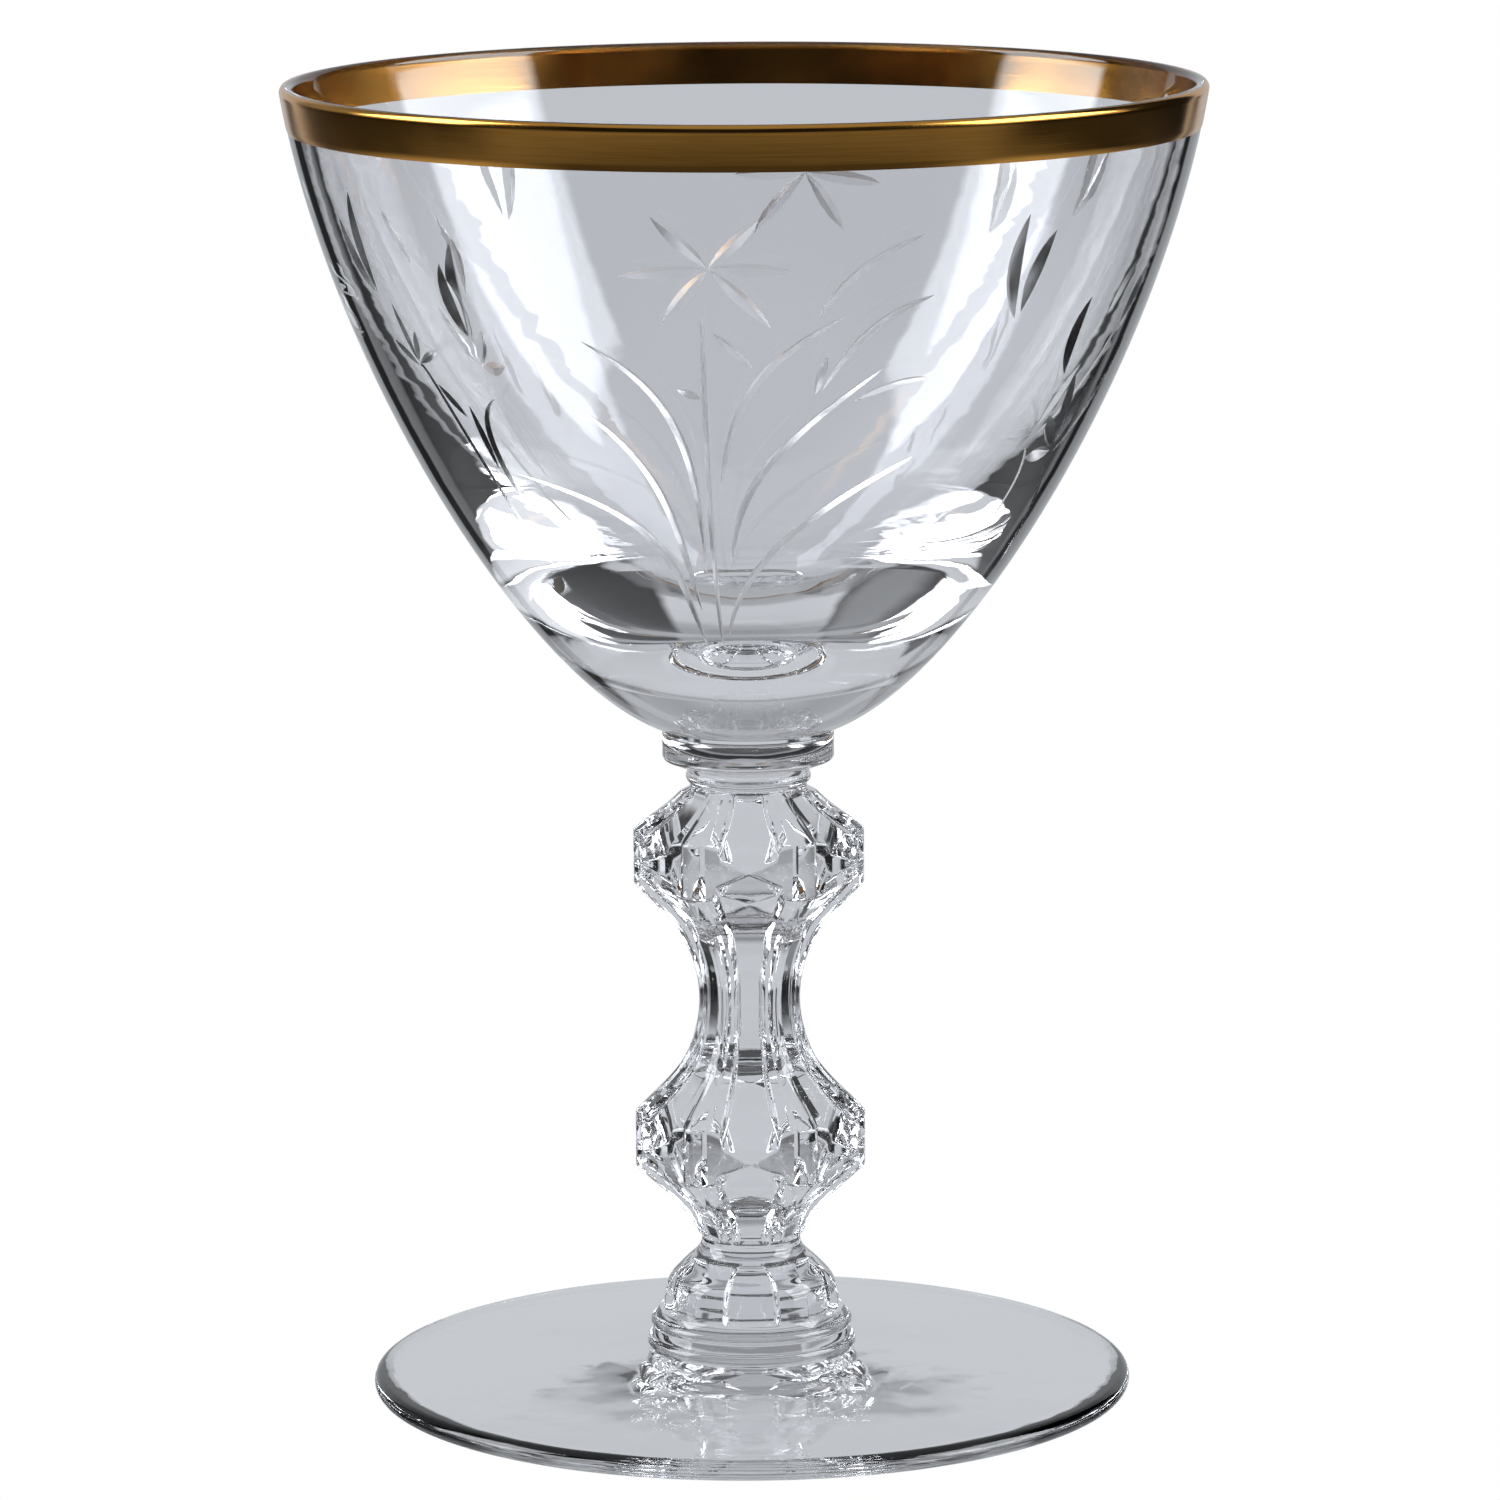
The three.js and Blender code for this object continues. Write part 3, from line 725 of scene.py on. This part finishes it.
# %% Curves through the stations
def through(stations, column, height, steady=False):
    """A value at a height on cubics that pass through each station. The slope at a
    station comes from its two neighbours; with steady the curve never overshoots."""
    h, value = stations[::-1, 0], stations[::-1, column]
    slope = np.gradient(value, h)
    if steady:
        rise = np.diff(value) / np.diff(h)
        pair = rise[:-1] * rise[1:]
        slope[1:-1] = np.where(pair > 0, 2 * pair / np.where(pair > 0, rise[:-1] + rise[1:], 1), 0)
    k = np.clip(np.searchsorted(h, height) - 1, 0, len(h) - 2)
    span = h[k + 1] - h[k]
    t = (height - h[k]) / span
    return (value[k] * (1 + 2 * t) * (1 - t) ** 2 + slope[k] * span * t * (1 - t) ** 2
            + value[k + 1] * t * t * (3 - 2 * t) + slope[k + 1] * span * t * t * (t - 1))


def stem_value(column, height):
    """One of the station values at any height, each fluted part from its own curve. Only
    the crest's curve may swing beyond its stations."""
    result = np.zeros_like(height)
    for low, high, stations in FLUTED_PARTS:
        here = (height > low) & (height <= high)
        result = np.where(here, through(stations, column, height, steady=column != CREST), result)
    return result


# %% [markdown]
# ## Half a flute and half a rib
#
# The section repeats six times, and each sixth is its own mirror image, so half of it is
# enough: thirty degrees, from the middle of a flute to the crest of a rib.

# %% The section through flute and rib
HALF_SECTOR, STRIP = math.radians(30), math.radians(7)
STRIP_START = HALF_SECTOR - STRIP
WALL, BEAD, BEAD_LIFT, LEAST_RIB = 0.5, 0.36, 0.12, 0.01
COLUMN_STEPS = [5, 4, 4, 3]
HALF_COLUMNS = 1 + sum(COLUMN_STEPS)


def ease(x):
    """A share from 0 to 1 that starts and ends gently: three squares less two cubes."""
    x = np.clip(x, 0, 1)
    return x ** 2 * (3 - 2 * x)


def wall_end(crest, edge):
    """Angle where the short wall beside a flute's flat floor ends: the width of the wall
    past the floor's edge, but short of the strip on the rib's top."""
    return np.minimum(edge + WALL / crest, STRIP_START - LEAST_RIB)


def flute_columns(height):
    """Angles of the columns from the middle of a flute to the crest of the rib: over
    the flute's floor, up its wall, over the rib, and over the strip on the rib's top."""
    edge = np.radians(stem_value(EDGE, height))
    wall = wall_end(stem_value(CREST, height), edge)
    ends = [0 * edge, edge, wall, STRIP_START + 0 * edge, HALF_SECTOR + 0 * edge]
    parts = [ends[k][..., None] + (ends[k + 1] - ends[k])[..., None] * (np.arange(steps) + 1) / steps
             for k, steps in enumerate(COLUMN_STEPS)]
    return np.concatenate([ends[0][..., None]] + parts, -1)


def fluted_radius(height, angle):
    """Radius of the fluted section: a flat floor, a short steep wall that curves in and
    out, and a broad rib that carries a half-round bead on its crest."""
    crest, floor_share, rim_share, edge = (stem_value(k, height) for k in (CREST, FLOOR, RIM, EDGE))
    edge = np.radians(edge)
    wall = wall_end(crest, edge)
    floor, rim = crest * floor_share / np.cos(np.minimum(angle, edge)), crest * rim_share
    over = np.clip((angle - wall) / (STRIP_START - wall), 0, 1)
    bead = np.clip((angle - STRIP_START) / STRIP, 0, 1)
    return (floor + (rim - floor) * ease((angle - edge) / (wall - edge))
            + (crest + BEAD_LIFT - BEAD - rim) * over + BEAD * np.sqrt(1 - (1 - bead) ** 2))


# %% The section through a knop
LAND_BEAD = 0.4
BARELY = 1e-9


def girdle_radius(angle):
    """Radius of the hexagon at the knops: straight from its tip over a flute to the
    edge of the land's strip, which is a low half round."""
    edge_radius = LAND - LAND_BEAD
    run = edge_radius * np.array([math.cos(STRIP_START), math.sin(STRIP_START)]) - [TIP, 0]
    straight = TIP * run[1] / (np.cos(angle) * run[1] - np.sin(angle) * run[0])
    across = np.clip((angle - STRIP_START) / STRIP, 0, 1)
    rounded = edge_radius + LAND_BEAD * np.sqrt(1 - (1 - across) ** 2)
    return np.where(angle > STRIP_START + BARELY, rounded, straight)


# %% [markdown]
# ## The creases of the knops
#
# Above and below each knop the flutes run into the hexagon. In each column the height of
# that crease is found by halving: the flutes are thinner than the hexagon at one end of
# a stretch and thicker at the other, and the half that holds the change is kept.

# %% The four creases
HALVINGS, BIT = 40, 1e-6


def column_angles(height):
    """The angle of each column at its own height."""
    return np.diagonal(flute_columns(height), axis1=-2, axis2=-1)


def crease(thin, thick):
    """Height in each column where the flutes meet the girdle, between a height where
    the flutes are thinner than the hexagon and one where they are thicker."""
    thin, thick = np.full(HALF_COLUMNS, thin), np.full(HALF_COLUMNS, thick)
    for _ in range(HALVINGS):
        middle = (thin + thick) / 2
        angle = column_angles(middle)
        thinner = fluted_radius(middle, angle) < girdle_radius(angle)
        thin, thick = np.where(thinner, middle, thin), np.where(thinner, thick, middle)
    return thin


creases = [crease(STEM_TOP - 3, UPPER_GIRDLE + BIT), crease(UPPER_GIRDLE - 6, UPPER_GIRDLE - BIT),
           crease(LOWER_GIRDLE + 6, LOWER_GIRDLE + BIT), crease(LOWER_GIRDLE - 6, LOWER_GIRDLE - BIT)]
for line in creases:
    print(f"a land's edge runs from {line[0]:.2f} mm at its tip to {line[-1]:.2f} mm at the rib")


# %% Rows between the creases
ROUNDING = 0.2
FLUTE_ROWS, LAND_ROWS, WAIST_ROWS = 30, 21, 80


def melted(one, other):
    """The smaller of two radii, with the edge where they cross rounded by the fire:
    the nearer the two are to each other, the more is melted away."""
    near = np.clip(1 - np.abs(one - other) / ROUNDING, 0, 1)
    return np.minimum(one, other) - near ** 2 * ROUNDING / 4


def blend_rows(start, end, count):
    """Rows from one line of heights to another, closer together near both lines."""
    share = (1 - np.cos(np.linspace(0, math.pi, count)[:, None])) / 2
    return (1 - share) * start + share * end


# %% The rows of the flutes and the lands, from the top down
everywhere = np.ones(HALF_COLUMNS)
fluted_top, fluted_end = (STEM_TOP - 2.2) * everywhere, (BELL_TOP + 0.4) * everywhere
heights, radii, angles = [], [], []
for start, end, count, on_land in [
        (fluted_top, creases[0], FLUTE_ROWS, False), (creases[0], creases[1], LAND_ROWS, True),
        (creases[1], creases[2], WAIST_ROWS, False), (creases[2], creases[3], LAND_ROWS, True),
        (creases[3], fluted_end, FLUTE_ROWS, False)]:
    rows = blend_rows(start, end, count)
    angle = column_angles(rows)
    if on_land:
        rows, angle = rows[1:-1], blend_rows(column_angles(start), column_angles(end), count)[1:-1]
    heights.append(rows)
    angles.append(angle)
    radii.append(melted(fluted_radius(rows, angle), girdle_radius(angle)))
print(f"{sum(len(rows) for rows in heights)} rows over the flutes and lands")

# %% [markdown]
# ## The collar and the bell
#
# Above the flutes sits a round collar that was sheared and melted, and below them a
# plain neck opens into the bell. The bell's panels have round tops and steep walls: each
# column beside a panel leans in towards its top, as the half circle there closes.

# %% The collar above
COLLAR_BEAD_MIDDLE, COLLAR_BEAD = (5.3, STEM_TOP - 0.75), 0.72
COLLAR_FOOT, COLLAR_END = (5.62, STEM_TOP - 1.5), (5.6, STEM_TOP - 1.8)
collar = np.vstack([
    (COLLAR_SEAT, STEM_TOP), arc(*COLLAR_BEAD_MIDDLE, COLLAR_BEAD, 70, -70, 9), COLLAR_FOOT, COLLAR_END])
collar_angles = flute_columns(np.array(COLLAR_FOOT[1]))
print(f"collar {2 * collar[:, 0].max():.1f} mm across")

# %% The bell below
BELL_STATIONS = np.array([
    (BELL_TOP + 0.4, 4.75), (BELL_TOP, 4.75), (BELL_TOP - 0.8, 4.95), (FOOT_MERESE_TOP + 4.4, 6.7),
    (FOOT_MERESE_TOP + 3.1, 7.85), (FOOT_MERESE_TOP + 1.4, 8.4), (FOOT_MERESE_TOP, 8.5)])
NECK = BELL_TOP + 0.2
PANEL_HALF, PANEL_WALL, PANEL_DEPTH = math.radians(16.5), math.radians(3.0), 0.9
PANEL_TOP, PANEL_ARCH, PANEL_SILL = BELL_TOP - 1.7, 2.2, 0.7
ARCH_SHARE = 0.55

bell_heights = np.concatenate([np.linspace(NECK, PANEL_TOP, 10)[:-1],
                               np.linspace(PANEL_TOP, FOOT_MERESE_TOP, 44)])
bell_radius = through(BELL_STATIONS, CREST, bell_heights)
sunk = PANEL_DEPTH * ease((PANEL_TOP - bell_heights) / PANEL_SILL)
print(f"bell from {bell_radius.min():.2f} to {bell_radius.max():.2f} mm in radius")

# %% The columns of the bell
panel_end = PANEL_HALF + PANEL_WALL
bell_angles = np.concatenate([
    np.linspace(0, PANEL_HALF, 7)[:-1], np.linspace(PANEL_HALF, panel_end, 5)[:-1],
    np.linspace(panel_end, HALF_SECTOR, 7)])
up_panel_wall = ease((bell_angles - PANEL_HALF) / PANEL_WALL)
beyond = (bell_angles - panel_end) / (HALF_SECTOR - panel_end)
down = np.clip((PANEL_TOP - bell_heights) / PANEL_ARCH, 0, 1)
arch = (ARCH_SHARE + (1 - ARCH_SHARE) * np.sqrt(1 - (1 - down) ** 2))[:, None]
panel_columns = np.where(beyond > 0, panel_end * arch + (HALF_SECTOR - panel_end * arch) * beyond,
                         np.minimum(bell_angles, panel_end) * arch)
opened = np.clip((NECK - bell_heights) / (NECK - PANEL_TOP), 0, 1)[:, None]
bell_columns = collar_angles + (panel_columns - collar_angles) * opened
bell_rows = bell_radius[:, None] - sunk[:, None] * (1 - up_panel_wall)
print(f"panels {math.degrees(2 * PANEL_HALF):.0f} degrees wide, sunk by {sunk.max():.1f} mm")

# %% Collar, flutes and bell in one stack
heights = [collar[:, 1:] * everywhere, *heights, bell_heights[:, None] * everywhere]
radii = [collar[:, :1] * everywhere, *radii, bell_rows]
angles = [np.repeat(collar_angles[None], len(collar), 0), *angles, bell_columns]
heights, radii, angles = (np.vstack(part)[::-1] for part in (heights, radii, angles))
print(f"{len(heights)} rows from foot to bowl")


# %% Six flutes round the axis
def whole_sector(half, mirror=1):
    """A sector from its half: the half mirrored, then the half itself."""
    return np.concatenate([mirror * half[:, :0:-1], half[:, :-1]], axis=1)


sector_angle = whole_sector(angles, mirror=-1)
stem_angle = np.concatenate([sector_angle + math.radians(60 * k) for k in range(6)], axis=1)
stem_radius = np.tile(whole_sector(radii), (1, 6))
stem_height = np.tile(whole_sector(heights), (1, 6))
stem = closed_piece("stem_crystal", around(stem_radius, stem_angle, stem_height),
                    FOOT_MERESE_TOP, STEM_TOP, (1, 1), [pressed_crystal, fused_joint],
                    sharp=20, pinched=True)

# %% [markdown]
# ## The ringed disc and the foot
#
# A ringed disc carries the bell: a thin bead above a fuller ring, both thrown round
# with a tool while the glass turned. Under it the foot is a shallow cone with a melted
# edge, dished a little underneath so that it stands on a ring.

# %% The ringed disc over the foot
FULL_RING = 9.35, FOOT_TOP + 0.6, 0.78, -40, 62
THIN_BEAD = 9.1, FOOT_TOP + 2.55, 0.65, -52, 62
RING_POINTS = 12
ring_profile = np.vstack([
    [[FOOT_SEAT, FOOT_TOP]], arc(*FULL_RING, RING_POINTS), arc(*THIN_BEAD, RING_POINTS),
    [[8.9, FOOT_MERESE_TOP]]])
under_stem = around(stem_radius[0], stem_angle[0], FOOT_MERESE_TOP)[None]
rings = np.concatenate([turned(ring_profile, stem_angle[0]), under_stem])
foot_disc = closed_piece("foot_merese_crystal", rings, FOOT_TOP, FOOT_MERESE_TOP,
                         (1, 1), [pressed_crystal, fused_joint])

# %% The foot
FOOT_RADIUS, FOOT_EDGE = 36.7, 0.95
DISH, DISH_DEPTH, RESTING_EDGE = 34.0, 1.3, 34.8
SLOPE_PULLS = (28.5, 2.5), (17.5, 3.2)
dish = np.linspace(0, DISH, 46)[1:]
underside = np.stack([dish, DISH_DEPTH * (1 - (dish / DISH) ** 2)], -1)
edge_line = arc(FOOT_RADIUS - FOOT_EDGE, FOOT_EDGE + 0.1, FOOT_EDGE, -70, 84, 14)
slope_line = cubic(edge_line[-1], *SLOPE_PULLS, (FOOT_SEAT, FOOT_TOP), 60)
foot_profile = np.vstack([underside, [[RESTING_EDGE, 0.0]], edge_line, slope_line[1:]])
foot = closed_piece("foot_crystal", turned(foot_profile, azimuths), DISH_DEPTH, FOOT_TOP,
                    (0, 1), [turned_crystal, fused_joint], sharp=40)

# %% [markdown]
# ## Riding on the frame
#
# Each piece stands for its CAD node and moves with the one rigid body.

# %% Pieces and the nodes that they stand for
for piece, node, finish in [
        (bowl, "bowl", "crystal"), (gold_band, "rim_band", "gold_film"),
        (bowl_disc, "bowl_merese", "crystal"), (stem, "stem", "crystal"),
        (foot_disc, "foot_merese", "crystal"), (foot, "foot", "crystal")]:
    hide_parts(node)
    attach(piece, "root")
    print(f"{piece.name} stands for {node}")

# %% [markdown]
# ## Floor, surroundings and light
#
# Clear glass shows nothing but its surroundings. A product photographer stands it on a
# table with a sweep of pale grey paper that curves up behind it. The room beside the
# paper is dark, which draws the edges of the glass, and two narrow dark strips low on
# the paper draw the ribs of the stem. A softbox hangs on each side. The table is pale
# all round, except that its far edge is dark at the sides, and that close in front the
# camera shades it. Here all of that is painted on the sky by direction: the azimuth from
# straight behind the glass, growing to the right, and the elevation above its table. The
# camera itself sees plain white around the glass, as in a catalogue picture that has
# been cut out.

# %% The paper of the floor
paper, tree = new_material("paper_seamless_pale", "#ffffff")
white = add(tree, "ShaderNodeEmission", {"Color": WHITE, "Strength": 1.0})
clear = add(tree, "ShaderNodeBsdfTransparent", {"Color": WHITE})
is_camera = add(tree, "ShaderNodeLightPath").outputs["Is Camera Ray"]
for_camera = add(tree, "ShaderNodeMixShader", {0: is_camera, 1: clear.outputs[0], 2: white.outputs[0]})
add(tree, "ShaderNodeOutputMaterial", {"Surface": for_camera.outputs[0]})
print(paper.name, "shows to the camera alone")

# %% The floor, a hair under the foot
FLOOR_RADIUS, FLOOR_SIDES, UNDER_FOOT = 2200.0, 64, 0.2
turn = np.linspace(0, 2 * math.pi, FLOOR_SIDES + 1)[:-1]
corners = around(FLOOR_RADIUS, turn, -UNDER_FOOT) * MM
floor_mesh = bpy.data.meshes.new("floor")
floor_mesh.from_pydata(corners.tolist(), [], [tuple(range(FLOOR_SIDES))])
floor_mesh.materials.append(paper)
floor = put_in_scene("floor", floor_mesh)
print(f"floor {2 * FLOOR_RADIUS / 1000:.1f} m across")

# %% The direction of each part of the sky, in degrees
world = bpy.data.worlds.new("studio")
bpy.context.scene.world = world
world.use_nodes = True
tree = world.node_tree
tree.nodes.clear()
axes = add(tree, "ShaderNodeSeparateXYZ", {0: add(tree, "ShaderNodeTexCoord").outputs["Generated"]})
facing_way = add(tree, "ShaderNodeMath", {0: axes.outputs["X"], 1: axes.outputs["Y"]}, operation="ARCTAN2")
raised = add(tree, "ShaderNodeMath", {0: axes.outputs["Z"]}, operation="ARCSINE")
sky_azimuth = add(tree, "ShaderNodeMath", {0: facing_way.outputs[0]}, operation="DEGREES").outputs[0]
sky_height = add(tree, "ShaderNodeMath", {0: raised.outputs[0]}, operation="DEGREES").outputs[0]
sky_aside = add(tree, "ShaderNodeMath", {0: sky_azimuth}, operation="ABSOLUTE").outputs[0]
print(f"{len(tree.nodes)} nodes turn a direction to azimuth and elevation")


# %% Soft edges, and lit cards with four of them
def softly(level, *edges):
    """A level that comes in softly over its edges. Each edge is the direction that it is
    measured in, where the change starts, where it ends, and the level before it."""
    for measured, start, end, before in edges:
        level = add(tree, "ShaderNodeMapRange", {
            "Value": measured, "From Min": start, "From Max": end, "To Min": before, "To Max": level},
            interpolation_type="SMOOTHSTEP").outputs["Result"]
    return level


def card(left, right, bottom, top, level, soft=2.0):
    """A lit rectangle of the sky between two azimuths and two elevations."""
    return softly(level, (sky_azimuth, left - soft, left + soft, 0.0),
                  (sky_azimuth, right + soft, right - soft, 0.0),
                  (sky_height, bottom - soft, bottom + soft, 0.0),
                  (sky_height, top + soft, top - soft, 0.0))


# %% The paper and the table
low_paper = softly(0.62, (sky_height, -40, 14, 1.1))
high_paper = softly(0.33, (sky_height, 14, 32, 0.65))
paper_level = add(tree, "ShaderNodeMath", {0: low_paper, 1: high_paper}, operation="MINIMUM")
far_table = softly(0.42, (sky_aside, 100, 125, 0.042), (sky_height, -9, -16, 0.0))
near_table = softly(0.65, (sky_height, -17, -36, 0.0))
table_level = add(tree, "ShaderNodeMath", {0: far_table, 1: near_table}, operation="MAXIMUM")
in_shade = softly(0.12, (sky_height, -20, -32, 0.7), (sky_aside, 95, 130, 1.0))
table_level = add(tree, "ShaderNodeMath", {0: table_level.outputs[0], 1: in_shade}, operation="MULTIPLY")
paper_card = card(-37, 34, -95, 50, paper_level.outputs[0], soft=2.5)
level = add(tree, "ShaderNodeMath", {0: paper_card, 1: table_level.outputs[0]}, operation="MAXIMUM")
print(f"{len(tree.nodes)} nodes for paper and table")

# %% Two dark strips on the paper, then everything else that is lit
SOFTBOX, FILL, STRIP_DARKNESS, ROOM = 7.0, 1.0, 0.92, 0.015
for left, right in [(-28, -20), (25, 30)]:
    taken = card(left, right, -36, -5, -STRIP_DARKNESS, soft=1.2)
    level = add(tree, "ShaderNodeMath", {0: level.outputs[0], 1: taken, 2: level.outputs[0]},
                operation="MULTIPLY_ADD")
ceiling = softly(0.45, (sky_height, 40, 54, 0.0))
for lit in [
        card(72, 120, -3, 14, FILL), card(74, 120, 12, 48, SOFTBOX),
        card(-106, -70, -3, 12, 0.7), card(-106, -70, 10, 48, SOFTBOX),
        card(-62, -38, -2, 42, 0.25, soft=6), ceiling, ROOM]:
    level = add(tree, "ShaderNodeMath", {0: level.outputs[0], 1: lit}, operation="MAXIMUM")
print(f"{len(tree.nodes)} nodes with the softboxes and the ceiling")

# %% Plain white for the camera, the studio for the glass
is_camera = add(tree, "ShaderNodeLightPath").outputs["Is Camera Ray"]
tint = add(tree, "ShaderNodeMix", {
    "Factor": is_camera, "A": paint("#f4f8fd"), "B": WHITE}, data_type="RGBA")
strength = add(tree, "ShaderNodeMix", {"Factor": is_camera, "A": level.outputs[0], "B": 1.0})
light = add(tree, "ShaderNodeBackground", {
    "Color": tint.outputs["Result"], "Strength": strength.outputs["Result"]})
add(tree, "ShaderNodeOutputWorld", {"Surface": light.outputs[0]})
print(f"{len(tree.nodes)} nodes in the whole studio")

# %% [markdown]
# ## The camera
#
# The rim and the foot show as two ellipses of known flatness, which fixes how high and
# how far the camera stood: 0.74 m away, 19 cm up, looking down by ten degrees.

# %% The camera
FOCAL_PIXELS, FRAME_PIXELS, SENSOR = 7790.5, 1500, 36.0
camera_data = bpy.data.cameras.new("camera")
camera_data.sensor_width = SENSOR
camera_data.lens = SENSOR * FOCAL_PIXELS / FRAME_PIXELS
camera_data.clip_start, camera_data.clip_end = 0.01, 20
camera = put_in_scene("camera", camera_data)
bpy.context.scene.camera = camera
print(f"lens {camera_data.lens:.0f} mm")

# %% Where the camera stands
DISTANCE, CAMERA_HEIGHT, ASIDE = 736.63, 193.69, 0.1785
PITCH, ROLL = 0.176, 0.0061
sideways = np.array([1.0, 0, 0])
upright = np.array([0, math.sin(PITCH), math.cos(PITCH)])
forward = np.array([0, math.cos(PITCH), -math.sin(PITCH)])
pose = np.eye(4)
pose[:3, 0] = math.cos(ROLL) * sideways - math.sin(ROLL) * upright
pose[:3, 1] = math.sin(ROLL) * sideways + math.cos(ROLL) * upright
pose[:3, 2] = -forward
pose[:3, 3] = np.array([ASIDE, -DISTANCE, CAMERA_HEIGHT]) * MM
camera.matrix_world = Matrix(pose.tolist())
print(f"camera {DISTANCE / 1000:.2f} m away, looking down by {math.degrees(PITCH):.0f} degrees")

# %% [markdown]
# ## How far light is followed
#
# Light crosses many walls of glass before it leaves the stem, so it is followed through
# two dozen of them, and may be gathered by the curved glass on its way.

# %% How far light is followed
WALLS_CROSSED, MIRRORED = 24, 12
scene = bpy.context.scene
scene.view_settings.view_transform = "Standard"
scene.cycles.max_bounces = WALLS_CROSSED
scene.cycles.transmission_bounces = WALLS_CROSSED
scene.cycles.transparent_max_bounces = WALLS_CROSSED
scene.cycles.glossy_bounces = MIRRORED
scene.cycles.caustics_refractive = True
scene.cycles.caustics_reflective = True
print(f"light is followed through {WALLS_CROSSED} walls and {MIRRORED} mirrorings")
